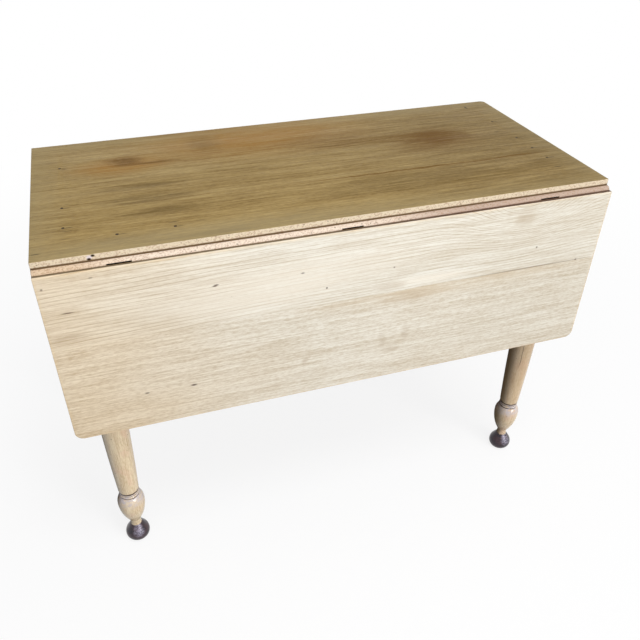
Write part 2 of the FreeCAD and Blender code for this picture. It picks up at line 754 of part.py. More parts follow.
def fingers(name, sx, sy, numbers, gap):
    """Rounded knuckle fingers on one side of a fly joint's axis, counted from below."""
    members = []
    axis_x = side_of(sx, "fly_axis")
    axis_y = side_of(sy, FLY_MIDDLE_Y)
    finger_y = about(axis_y, "fly_thickness")
    reach = FLY_SHOULDER
    moving = gap != "0"
    near, far = ("fly_axis", f"fly_axis + {reach}") if moving else (f"fly_axis - {reach}", "fly_axis")
    for number in numbers:
        base = f"{FLY_BASE} + {number} * {FINGER_PITCH} + {gap}"
        height = f"{FINGER_PITCH} - 2 * {gap}"
        members.append(block(f"{name}_finger_{number}", span(sx, near, far), finger_y,
                             (base, f"{base} + {height}")))
        members.append(rod(f"{name}_barrel_{number}", "fly_thickness / 2", height, axis_x, axis_y, base))
    return members


FIXED_FINGERS = range(0, FINGERS, 2)
MOVING_FINGERS = range(1, FINGERS, 2)

OGEE_START = "bracket_length - ogee_length"
OGEE_RISE = "fly_height - bracket_tip_height"
BRACKET_CORNERS = [
    (FLY_SHOULDER, "0"),
    (OGEE_START, "0", "level_start"),
    (f"{OGEE_START} + ogee_length / 2", f"({OGEE_RISE}) / 2", "level_end"),
    ("bracket_length", OGEE_RISE),
    ("bracket_length", "fly_height"),
    (FLY_SHOULDER, "fly_height"),
]

for side, sy in SIDES.items():
    fly_z = (FLY_BASE, FLY_TOP)
    block_end = f"(fly_axis - {FLY_SHOULDER})"
    members = [block(f"{side}_fly_block_bar", (f"-{block_end}", block_end),
                     span(sy, SIDE_RAIL_OUTER, POST_OUTER_Y), fly_z)]
    tools = [fly_screw_holes[side]]
    axis_y = side_of(sy, FLY_MIDDLE_Y)
    for end, sx in ENDS.items():
        axis_x = side_of(sx, "fly_axis")
        label = f"{side}_{end}_fly"
        members += fingers(f"{label}_block", sx, sy, FIXED_FINGERS, "0")
        tools.append(rod(f"{label}_block_bore", "fly_pin_radius", "fly_height", axis_x, axis_y, FLY_BASE))

        bracket = padded(f"{label}_arm", "XZ_Plane", BRACKET_CORNERS, "fly_thickness")
        place(bracket, axis_x, axis_y, FLY_BASE, Z_AXIS, 180 if sx < 0 else 0)
        knuckles = fingers(f"{label}_arm", sx, sy, MOVING_FINGERS, "finger_gap")
        bore = rod(f"{label}_arm_bore", "fly_pin_radius + running_fit", "fly_height",
                   axis_x, axis_y, FLY_BASE)
        arm = cut(f"{label}_arm_cut", fused(f"{label}_arm_solid", [bracket] + knuckles), [bore])
        keep(arm, f"{label}_bracket")
        pin = rod(f"{label}_pin_rod", "fly_pin_radius", "fly_height", axis_x, axis_y, FLY_BASE)
        keep(pin, f"{label}_pin")
    fixed = fused(f"{side}_fly_block_solid", members)
    keep(cut(f"{side}_fly_block_cut", fixed, tools), f"{side}_fly_block")

doc.recompute()
for obj in doc.Objects:
    if "Invalid" in obj.State or "Error" in obj.State:
        raise RuntimeError(f"{obj.Label} failed: {obj.State}")
for obj in sub_parts:
    if obj.Shape.isNull() or not obj.Shape.isValid():
        raise RuntimeError(f"{obj.Label} has no valid shape")

os.makedirs("parts", exist_ok=True)
for obj in sub_parts:
    obj.Shape.exportStep(f"parts/{obj.Label}.step")
    print(f"{obj.Label}: {len(obj.Shape.Solids)} solids, {obj.Shape.Volume / 1000:.1f} cm3")
print(f"{len(sub_parts)} nodes")
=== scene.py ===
"""Looks of a drop-leaf table: worn boards on rule joints, turned legs on dark ball feet, old iron.

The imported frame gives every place. Lengths are in metres, X runs along the leaves, -Y is the front and
Z is up. Colours are written in sRGB, as a maker would match them on a sample board.
"""
import json
import logging
import math
from abc import ABC, abstractmethod
from collections.abc import Iterable
from dataclasses import dataclass, field
from enum import Enum
from functools import cache

import bmesh
import bpy
import numpy as np
from mathutils import Matrix, Vector


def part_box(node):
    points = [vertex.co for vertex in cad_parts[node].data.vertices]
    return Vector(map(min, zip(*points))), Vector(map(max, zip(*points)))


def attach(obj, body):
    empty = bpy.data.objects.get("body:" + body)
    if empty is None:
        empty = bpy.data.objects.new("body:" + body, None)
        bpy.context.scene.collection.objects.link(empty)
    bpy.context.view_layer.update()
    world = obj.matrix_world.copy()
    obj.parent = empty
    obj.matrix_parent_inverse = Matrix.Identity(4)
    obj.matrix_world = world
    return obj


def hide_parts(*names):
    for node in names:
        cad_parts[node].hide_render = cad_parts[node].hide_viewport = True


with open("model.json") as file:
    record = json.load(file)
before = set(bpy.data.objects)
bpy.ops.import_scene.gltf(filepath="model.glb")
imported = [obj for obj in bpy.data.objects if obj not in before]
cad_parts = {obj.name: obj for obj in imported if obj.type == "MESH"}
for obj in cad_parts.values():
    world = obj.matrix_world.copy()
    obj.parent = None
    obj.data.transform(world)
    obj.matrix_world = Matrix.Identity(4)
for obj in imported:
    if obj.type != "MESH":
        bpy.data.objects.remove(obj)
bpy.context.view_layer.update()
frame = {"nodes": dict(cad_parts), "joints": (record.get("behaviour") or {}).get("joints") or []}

LOG = logging.getLogger("drop_leaf_table")

Colour = tuple[float, float, float]
Triple = tuple[float, float, float]
Point = tuple[float, float]
Socket = bpy.types.NodeSocket
Node = bpy.types.Node
Tree = bpy.types.NodeTree
Mesh = bpy.types.Mesh
Piece = bpy.types.Object
Plug = Socket | float | tuple | str

HINGE_WORDS = ("left", "middle", "right")
ZERO: Triple = (0.0, 0.0, 0.0)
WHITE: Colour = (1.0, 1.0, 1.0)
WELD_DISTANCE = 1e-6
SHORTEST = 1e-9


class Named(Enum):
    """A named choice whose word also stands in node names."""

    @property
    def word(self) -> str:
        """The choice's word in node names."""
        return self.name.lower()


class Side(Named):
    """The two long sides of the table, by their sign along Y."""

    FRONT = -1
    REAR = 1


class End(Named):
    """The two ends of the table, by their sign along X."""

    LEFT = -1
    RIGHT = 1


class Layer(Named):
    """The two boards of a hanging leaf, from the top down."""

    UPPER = 1
    LOWER = 2


def srgb(red: int, green: int, blue: int) -> Colour:
    """Linear colour of an 8-bit sRGB one.

    Args:
        red: Red, from 0 to 255.
        green: Green, from 0 to 255.
        blue: Blue, from 0 to 255.

    Returns:
        The colour as Blender's sockets take it.
    """
    def straight(value: int) -> float:
        """One channel without its gamma curve."""
        share = value / 255
        return share / 12.92 if share <= 0.04045 else ((share + 0.055) / 1.055) ** 2.4

    return straight(red), straight(green), straight(blue)


@dataclass(frozen=True)
class FramePlaces:
    """Places of the table that the pieces share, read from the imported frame."""

    half_length: float
    top: float
    underside: float
    pin_out: float
    pin_height: float
    top_joint: float
    leaf_outer: float
    leaf_inner: float
    leaf_joint: float
    leaf_bottom: float
    hinge_half_width: float
    hinge_middles: tuple[float, ...]

    @classmethod
    def read(cls) -> "FramePlaces":
        """Measures the nodes of the frame once.

        Returns:
            The measured places.
        """
        low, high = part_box("top_front_board")
        pin = next(j for j in frame["joints"] if j["name"] == "front_leaf_hinge")["pos_m"]
        upper_low, upper_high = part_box("front_leaf_upper_board")
        lower_low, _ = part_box("front_leaf_lower_board")
        plates = [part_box(f"front_{word}_hinge_top_plate") for word in HINGE_WORDS]
        return cls(
            half_length=high.x,
            top=high.z,
            underside=low.z,
            pin_out=abs(pin[1]),
            pin_height=pin[2],
            top_joint=high.y,
            leaf_outer=-upper_low.y,
            leaf_inner=-upper_high.y,
            leaf_joint=upper_low.z,
            leaf_bottom=lower_low.z,
            hinge_half_width=(plates[0][1].x - plates[0][0].x) / 2,
            hinge_middles=tuple((a.x + b.x) / 2 for a, b in plates),
        )


class Bench:
    """Sets nodes out in one tree and joins their sockets."""

    def __init__(self, tree: Tree) -> None:
        """Keeps the tree that the nodes go into."""
        self.tree = tree

    def join(self, value: Plug, socket: Socket) -> None:
        """Links a socket to another one, or sets its plain value.

        Args:
            value: Socket to link from, or plain value.
            socket: Input that takes it.
        """
        if isinstance(value, Socket):
            self.tree.links.new(value, socket)
        elif socket.type == "RGBA" and len(value) == 3:
            socket.default_value = (*value, 1.0)
        else:
            socket.default_value = value

    def fill(self, made: Node, values: dict[str, Plug]) -> None:
        """Joins values to a node's inputs by their names."""
        for key, value in values.items():
            self.join(value, made.inputs[key])

    def node(self, kind: str, values: dict[str, Plug] | None = None, **settings: object) -> Node:
        """Adds a node.

        Args:
            kind: Blender's name of the node type.
            values: What its inputs take, by their names.
            **settings: Properties to set on it first.

        Returns:
            The new node.
        """
        made = self.tree.nodes.new(kind)
        for key, value in settings.items():
            setattr(made, key, value)
        self.fill(made, values or {})
        return made

    def run(self, kind: str, *values: Plug, **settings: object) -> Node:
        """Adds a node and joins its first inputs in their order.

        Args:
            kind: Blender's name of the node type.
            *values: What the inputs take.
            **settings: Properties to set on it first.

        Returns:
            The new node.
        """
        made = self.node(kind, **settings)
        for value, socket in zip(values, made.inputs):
            self.join(value, socket)
        return made

    def mask(self, tree: Tree, values: dict[str, Plug]) -> Socket:
        """Mask that a shader node group gives."""
        return self.node("ShaderNodeGroup", values, node_tree=tree).outputs["Mask"]

    def math(self, operation: str, *values: Plug) -> Socket:
        """Result of a Math node, in the order of its inputs."""
        return self.run("ShaderNodeMath", *values, operation=operation).outputs[0]

    def vector(self, operation: str, *values: Plug) -> Socket:
        """Result of a Vector Math node: a value for LENGTH and DOT_PRODUCT, otherwise a vector."""
        made = self.run("ShaderNodeVectorMath", *values, operation=operation)
        return made.outputs["Value" if operation in ("LENGTH", "DOT_PRODUCT") else "Vector"]

    def split(self, vector: Plug) -> tuple[Socket, ...]:
        """The three parts of a vector."""
        return tuple(self.run("ShaderNodeSeparateXYZ", vector).outputs)

    def combine(self, x: Plug, y: Plug, z: Plug) -> Socket:
        """A vector from three parts."""
        return self.run("ShaderNodeCombineXYZ", x, y, z).outputs[0]

    def ease(self, value: Plug, low: Plug, high: Plug) -> Socket:
        """Smooth step from 0 at low to 1 at high."""
        return self.run("ShaderNodeMapRange", value, low, high, interpolation_type="SMOOTHSTEP").outputs[0]

    def less(self, value: Plug) -> Socket:
        """One minus a value."""
        return self.math("SUBTRACT", 1.0, value)

    def mix(self, share: Plug, first: Plug, second: Plug, blend: str = "MIX") -> Socket:
        """Colour between two others.

        Args:
            share: How much of the second, from 0 to 1.
            first: Colour at 0.
            second: Colour at 1.
            blend: Blender's name of the blend type.

        Returns:
            The mixed colour's socket.
        """
        made = self.node("ShaderNodeMix", data_type="RGBA", blend_type=blend)
        for value, index in ((share, 0), (first, 6), (second, 7)):
            self.join(value, made.inputs[index])
        return made.outputs[2]

    def over(self, below: Plug, above: Plug, mask: Plug, strength: Plug) -> Socket:
        """Colour with another one laid over it where a mask is, up to a strength."""
        return self.mix(self.math("MULTIPLY", mask, strength), below, above)

    def clouds(self, vector: Plug, stretch: Triple, detail: float, rough: float) -> Node:
        """Noise texture whose features repeat about so many times per metre on each axis.

        Args:
            vector: Place to read the noise at.
            stretch: Features per metre along X, Y and Z.
            detail: Octaves of finer noise.
            rough: Weight of the finer octaves.

        Returns:
            The texture node.
        """
        place = self.vector("MULTIPLY", vector, stretch)
        values = {"Vector": place, "Scale": 1.0, "Detail": detail, "Roughness": rough}
        return self.node("ShaderNodeTexNoise", values)

    def noise(self, vector: Plug, stretch: Triple, detail: float = 2.0, rough: float = 0.5) -> Socket:
        """Value of the noise texture, from 0 to 1."""
        return self.clouds(vector, stretch, detail, rough).outputs[0]

    def sum(self, *parts: tuple[Plug, float], base: Plug = 0.0) -> Socket:
        """Weighted sum of values.

        Args:
            *parts: Each value with its weight.
            base: Value that the sum starts from.

        Returns:
            The sum's socket.
        """
        total = base
        for value, weight in parts:
            total = self.math("MULTIPLY_ADD", value, weight, total)
        return total


def by_name(sockets: Iterable[Socket]) -> dict[str, Socket]:
    """Sockets of a node by their names."""
    return {socket.name: socket for socket in sockets if socket.name}


def new_group(name: str, inputs: dict[str, Plug],
              outputs: tuple[str, ...] = ("Mask",)) -> tuple[Bench, dict, dict]:
    """Starts a shader node group.

    Args:
        name: The group's name.
        inputs: Default of each named input; a triple makes a vector socket.
        outputs: Names of its values.

    Returns:
        The bench of the group, its input sockets by name and its output sockets by name.
    """
    tree = bpy.data.node_groups.new(name, "ShaderNodeTree")
    for key, value in inputs.items():
        kind = "NodeSocketVector" if isinstance(value, tuple) else "NodeSocketFloat"
        tree.interface.new_socket(key, in_out="INPUT", socket_type=kind).default_value = value
    for key in outputs:
        tree.interface.new_socket(key, in_out="OUTPUT", socket_type="NodeSocketFloat")
    bench = Bench(tree)
    entry = bench.node("NodeGroupInput")
    leave = bench.node("NodeGroupOutput")
    return bench, by_name(entry.outputs), by_name(leave.inputs)


@cache
def plank_grain() -> Tree:
    """Grain of sawn or turned wood along X: growth rings round the log's heart, fibres, flecks and pores.

    Returns:
        The shader node group.
    """
    bench, given, out = new_group(
        "plank_grain",
        {"Vector": ZERO, "Heart": ZERO, "Ring Width": 0.006, "Taper": 0.01, "Waviness": 0.006,
         "Swirl Place": ZERO, "Swirl Reach": (0.1, 0.1, 0.1), "Swirl Lift": 0.0, "Late From": 0.5},
        ("Ring", "Tone", "Streak", "Fibre", "Fleck", "Pore"),
    )
    place = given["Vector"]
    along, across, through = bench.split(bench.vector("SUBTRACT", place, given["Heart"]))
    wave = bench.math("SUBTRACT", bench.noise(place, (1.7, 8.0, 8.0), 3.0), 0.5)
    ripple = bench.math("SUBTRACT", bench.noise(place, (7.0, 45.0, 45.0), 2.0), 0.5)
    shift = bench.math("MULTIPLY", bench.sum((wave, 1.0), (ripple, 0.16)), given["Waviness"])
    offset = bench.vector("SUBTRACT", place, given["Swirl Place"])
    offset = bench.vector("LENGTH", bench.vector("DIVIDE", offset, given["Swirl Reach"]))
    swirl = bench.math("EXPONENT", bench.math("MULTIPLY", bench.math("POWER", offset, 2.0), -1.0))
    radius = bench.vector("LENGTH", bench.combine(0.0, across, through))
    radius = bench.math("MULTIPLY_ADD", along, given["Taper"], radius)
    radius = bench.math("MULTIPLY_ADD", swirl, given["Swirl Lift"], bench.math("ADD", radius, shift))
    rings = bench.math("DIVIDE", radius, given["Ring Width"])
    part = bench.math("FRACT", rings)
    late = bench.math("MULTIPLY", bench.ease(part, given["Late From"], 0.9),
                      bench.less(bench.ease(part, 0.92, 1.0)))
    years = {"W": bench.math("FLOOR", rings)}
    year = bench.node("ShaderNodeTexWhiteNoise", years, noise_dimensions="1D").outputs["Value"]
    broken = bench.ease(bench.noise(place, (5.0, 70.0, 70.0), 3.0, 0.6), 0.26, 0.56)
    strength = bench.math("MULTIPLY", bench.math("MULTIPLY_ADD", year, 0.75, 0.25), broken)
    bench.join(bench.math("MULTIPLY", late, strength), out["Ring"])
    # Each row: features per metre along and across the grain, octaves, their weight, start and full value.
    for key, along_grain, across_grain, detail, rough, start, full in (
        ("Tone", 2.2, 30.0, 3.0, 0.6, 0.32, 0.68),
        ("Streak", 9.0, 105.0, 4.0, 0.65, 0.36, 0.66),
        ("Fibre", 12.0, 360.0, 3.0, 0.65, 0.36, 0.64),
        ("Fleck", 95.0, 520.0, 3.0, 0.65, 0.42, 0.62),
        ("Pore", 60.0, 1300.0, 1.0, 0.5, 0.6, 0.74),
    ):
        streaks = bench.noise(place, (along_grain, across_grain, across_grain), detail, rough)
        bench.join(bench.ease(streaks, start, full), out[key])
    return bench.tree


@cache
def rubbed_edges() -> Tree:
    """Mask that is 1 along the edges of a box and fades unevenly into its faces.

    Returns:
        The shader node group.
    """
    bench, given, out = new_group("rubbed_edges", {"Vector": ZERO, "Low": ZERO, "High": WHITE, "Reach": 0.01,
                                                   "Breakup": 0.01})
    place = given["Vector"]
    depth = bench.vector("MINIMUM", bench.vector("SUBTRACT", place, given["Low"]),
                         bench.vector("SUBTRACT", given["High"], place))
    x, y, z = bench.split(depth)
    second = bench.math("MAXIMUM", bench.math("MINIMUM", x, y),
                        bench.math("MINIMUM", bench.math("MAXIMUM", x, y), z))
    broken = bench.math("SUBTRACT", bench.noise(place, (60.0, 60.0, 60.0), 4.0, 0.65), 0.5)
    second = bench.math("MULTIPLY_ADD", broken, given["Breakup"], second)
    bench.join(bench.less(bench.ease(second, 0.0, given["Reach"])), out["Mask"])
    return bench.tree


@cache
def placed_mark() -> Tree:
    """Mask of one soft oval mark at a place on the wood.

    Returns:
        The shader node group.
    """
    bench, given, out = new_group("placed_mark", {"Vector": ZERO, "Place": ZERO, "Reach": (0.01, 0.01, 0.01),
                                                  "Core": 0.2})
    offset = bench.vector("DIVIDE", bench.vector("SUBTRACT", given["Vector"], given["Place"]), given["Reach"])
    bench.join(bench.less(bench.ease(bench.vector("LENGTH", offset), given["Core"], 1.0)), out["Mask"])
    return bench.tree


@cache
def fine_specks() -> Tree:
    """Mask of small scattered specks, pits or pores.

    Returns:
        The shader node group.
    """
    bench, given, out = new_group("fine_specks", {"Vector": ZERO, "Per Metre": 200.0, "Size": 0.25,
                                                  "Share": 0.1})
    values = {"Vector": given["Vector"], "Scale": given["Per Metre"], "Randomness": 1.0}
    cells = bench.node("ShaderNodeTexVoronoi", values, feature="F1").outputs
    chance, *_ = bench.split(cells["Color"])
    chosen = bench.math("LESS_THAN", chance, given["Share"])
    edge = bench.math("MULTIPLY", given["Size"], 0.35)
    spot = bench.less(bench.ease(cells["Distance"], edge, given["Size"]))
    bench.join(bench.math("MULTIPLY", chosen, spot), out["Mask"])
    return bench.tree


@dataclass(frozen=True)
class Mark:
    """A stain, knot, bruise, painted shade or painted highlight that sits at one place on the wood."""

    place: Triple
    reach: Triple
    colour: Colour
    strength: float
    core: float = 0.15


@dataclass(frozen=True)
class Sawing:
    """How a board lay in the log, which decides its lines. Each field is named as its input of the grain."""

    heart: Triple
    ring_width: float
    taper: float
    waviness: float
    swirl_place: Triple = ZERO
    swirl_reach: Triple = (0.1, 0.1, 0.1)
    swirl_lift: float = 0.0
    late_from: float = 0.5

    def grain(self, bench: Bench, place: Plug) -> dict[str, Socket]:
        """Parts of this sawing's grain by their names, along X of a place."""
        values = {key.replace("_", " ").title(): value for key, value in vars(self).items()}
        return by_name(bench.node("ShaderNodeGroup", {"Vector": place, **values},
                                  node_tree=plank_grain()).outputs)


class Coat(Bench):
    """Bench of one new material, with the place and the grain that its colours follow."""

    def __init__(self, name: str) -> None:
        """Starts the material.

        Args:
            name: Name of the material.
        """
        self.material = bpy.data.materials.new(name)
        self.material.use_nodes = True
        super().__init__(self.material.node_tree)
        self.tree.nodes.clear()
        self.leave = self.node("ShaderNodeOutputMaterial").inputs["Surface"]
        coords = self.node("ShaderNodeTexCoord").outputs
        self.place = coords["Object"]
        self.normal = coords["Normal"]
        self.grain: dict[str, Socket] = {}

    def saw(self, sawing: Sawing, place: Plug) -> None:
        """Gives the wood the grain of a sawing, along X of a place."""
        self.grain = sawing.grain(self, place)

    def lines(self, base: Plug = 0.0, **weights: float) -> Socket:
        """Weighted sum of the grain's parts on top of a base value."""
        return self.sum(*((self.grain[key], weight) for key, weight in weights.items()), base=base)

    def specks(self, per_metre: float, size: float, share: float) -> Socket:
        """Mask of specks: cells per metre, size within a cell, and share of the cells that have one."""
        values = {"Vector": self.place, "Per Metre": per_metre, "Size": size, "Share": share}
        return self.mask(fine_specks(), values)

    def spot(self, place: Plug, middle: Triple, reach: Triple, core: float) -> Socket:
        """Mask of one soft oval mark round a middle, read at a place."""
        return self.mask(placed_mark(), {"Vector": place, "Place": middle, "Reach": reach, "Core": core})

    def rubbed(self, low: Triple, high: Triple, reach: float, breakup: float) -> Socket:
        """Mask of the rubbed edges of the box between two corners."""
        values = {"Vector": self.place, "Low": low, "High": high, "Reach": reach, "Breakup": breakup}
        return self.mask(rubbed_edges(), values)

    def torn(self, reach: float) -> Socket:
        """The place pushed about along the grain, up to a reach across it, which tears a mark's outline."""
        push = self.clouds(self.place, (7.0, 38.0, 38.0), 4.0, 0.6).outputs["Color"]
        return self.vector("MULTIPLY_ADD", self.vector("SUBTRACT", push, (0.5, 0.5, 0.5)),
                           (2.5 * reach, reach, reach), self.place)

    def marked(self, place: Plug, wood: Plug, marks: tuple[Mark, ...], bite: Plug = 1.0) -> Socket:
        """Wood with its marks laid over it one after the other.

        Args:
            place: Where the marks are read.
            wood: Colour below the marks.
            marks: The marks, lowest first.
            bite: How deep the wood takes a stain here, about 1.

        Returns:
            The colour's socket.
        """
        for mark in marks:
            share = self.math("MULTIPLY", self.spot(place, mark.place, mark.reach, mark.core), mark.strength)
            wood = self.over(wood, mark.colour, share, bite)
        return wood

    def cover(self, values: dict[str, Plug], height: Socket, depth: float, strength: float = 0.6) -> None:
        """Covers the material with a Principled shader, raised by a height map.

        Args:
            values: What the shader's inputs take, by their names.
            height: Height from 0 to 1.
            depth: Real depth of the relief in metres.
            strength: Strength of the Bump node.
        """
        bump = self.node("ShaderNodeBump", {"Height": height, "Distance": depth, "Strength": strength})
        shader = self.node("ShaderNodeBsdfPrincipled", {**values, "Normal": bump.outputs["Normal"]})
        self.join(shader.outputs[0], self.leave)


class Finish(ABC):
    """A finish that makes one node material."""

    name: str

    @abstractmethod
    def lay(self, coat: Coat) -> None:
        """Covers a new material with the finish."""

    def material(self) -> bpy.types.Material:
        """The finish as a Blender material, made once.

        Returns:
            The material.
        """
        known = bpy.data.materials.get(self.name)
        if known:
            return known
        coat = Coat(self.name)
        self.lay(coat)
        return coat.material


@dataclass(frozen=True)
class TopFinish(Finish):
    """Old oiled top: brown and stained above, rubbed pale along its moulded edges, bare below."""

    name: str
    sawing: Sawing
    places: FramePlaces
    marks: tuple[Mark, ...]
    scars: tuple[Mark, ...]
    bruises: tuple[Mark, ...]
    ovolo_rise: float
    stain_push: float = 0.022
    scar_push: float = 0.003
    rub_reach: float = 0.07
    fillet_edge: float = 0.002
    crease: Point = (0.0012, 0.0032)
    grain_depth: float = 0.00028
    pale: Colour = srgb(188, 162, 106)
    deep: Colour = srgb(124, 98, 52)
    grey: Colour = srgb(166, 152, 116)
    edge: Colour = srgb(225, 210, 184)
    ovolo: Colour = srgb(229, 213, 195)
    ovolo_tan: Colour = srgb(214, 190, 161)
    ovolo_pink: Colour = srgb(187, 166, 150)
    edge_speck: Colour = srgb(158, 116, 84)
    bare: Colour = srgb(176, 146, 104)
    hollow: Colour = srgb(110, 88, 64)
    scar: Colour = srgb(70, 50, 34)

    def lay(self, coat: Coat) -> None:
        """Covers a new material with the top's finish.

        Args:
            coat: The material.
        """
        half, out, top = self.places.half_length, self.places.pin_out, self.places.top
        endways, _, upright = coat.split(coat.normal)
        _, _, height = coat.split(coat.place)
        coat.saw(self.sawing, coat.place)
        low = (-half, -out, self.places.underside)
        rub = coat.rubbed(low, (half, out, top), self.rub_reach, self.rub_reach)
        pits = coat.specks(150.0, 0.16, 0.012)
        wood = coat.over(coat.over(self._face(coat), self.grey, rub, 0.3), self.scar, pits, 0.7)
        bare = coat.mix(coat.lines(Ring=0.35, Fibre=0.4), self.bare, self.deep)
        face = coat.ease(height, top - 0.006, top - 0.003)
        up = coat.math("MULTIPLY", coat.ease(upright, 0.45, 0.85), face)
        down = coat.ease(coat.math("MULTIPLY", upright, -1.0), 0.55, 0.9)
        colour = coat.mix(down, coat.mix(up, self._edge(coat, endways), wood), bare)
        sheen = coat.sum((rub, 0.08), (coat.less(up), 0.16), base=0.34)
        sheen = coat.lines(sheen, Tone=0.1, Fibre=0.06)
        raised = coat.lines(coat.math("MULTIPLY", pits, -1.2), Fibre=0.3, Ring=0.25, Pore=-0.5)
        values = {"Base Color": colour, "Roughness": sheen, "Specular IOR Level": 0.05}
        coat.cover(values, raised, self.grain_depth)

    def _face(self, coat: Coat) -> Socket:
        """Oiled wood of the upper face with its stains, painted shade and scars.

        Args:
            coat: The material.

        Returns:
            The colour's socket.
        """
        lines = coat.lines(Ring=0.16, Streak=0.22, Fibre=0.34, Tone=0.18, Fleck=0.22)
        wood = coat.over(coat.mix(lines, self.pale, self.deep), self.scar, coat.grain["Pore"], 0.4)
        bite = coat.lines(0.5, Streak=0.35, Fibre=0.4, Fleck=0.2)
        wood = coat.marked(coat.torn(self.stain_push), wood, self.marks, bite)
        return coat.marked(coat.torn(self.scar_push), wood, self.scars)

    def _edge(self, coat: Coat, endways: Socket) -> Socket:
        """Rubbed wood of the fillet and the ovolo, end grain at the ends and dark wood in the nail holes.

        Args:
            coat: The material.
            endways: How far the surface faces along X.

        Returns:
            The colour's socket.
        """
        half = self.places.half_length
        along, depth, height = coat.split(coat.place)
        out = coat.math("SUBTRACT", coat.math("ABSOLUTE", depth), self.places.pin_out)
        uneven = coat.sum((coat.noise(coat.place, (4.0, 30.0, 30.0)), 0.16), (along, 1.0), base=-0.08)
        ovolo = coat.mix(coat.ease(uneven, -0.02, 0.22), self.ovolo, self.ovolo_pink)
        ovolo = coat.mix(coat.ease(uneven, -0.46, -0.33), self.ovolo_tan, ovolo)
        side = coat.mix(coat.ease(out, 0.0, self.fillet_edge), self.edge, ovolo)
        grit = coat.ease(coat.noise(coat.place, (300.0, 420.0, 420.0), 3.0, 0.7), 0.48, 0.62)
        side = coat.over(side, self.edge_speck, grit, 0.5)
        side = coat.over(side, self.hollow, coat.specks(190.0, 0.34, 0.16), 0.6)
        above = coat.math("SUBTRACT", height, self.places.pin_height + self.ovolo_rise)
        off = coat.vector("LENGTH", coat.combine(out, above, 0.0))
        side = coat.mix(coat.ease(off, *self.crease), self.hollow, side)
        side = coat.marked(coat.place, side, self.bruises)
        end_grain = coat.mix(coat.lines(Ring=0.65, Fleck=0.25, Pore=0.3), self.bare, self.deep)
        side = coat.mix(coat.ease(coat.math("ABSOLUTE", endways), 0.5, 0.8), side, end_grain)
        near_end = coat.ease(coat.math("ABSOLUTE", along), half - 0.004, half - 0.002)
        outside = coat.math("MAXIMUM", coat.ease(out, -0.008, -0.004), near_end)
        return coat.mix(outside, self.scar, side)


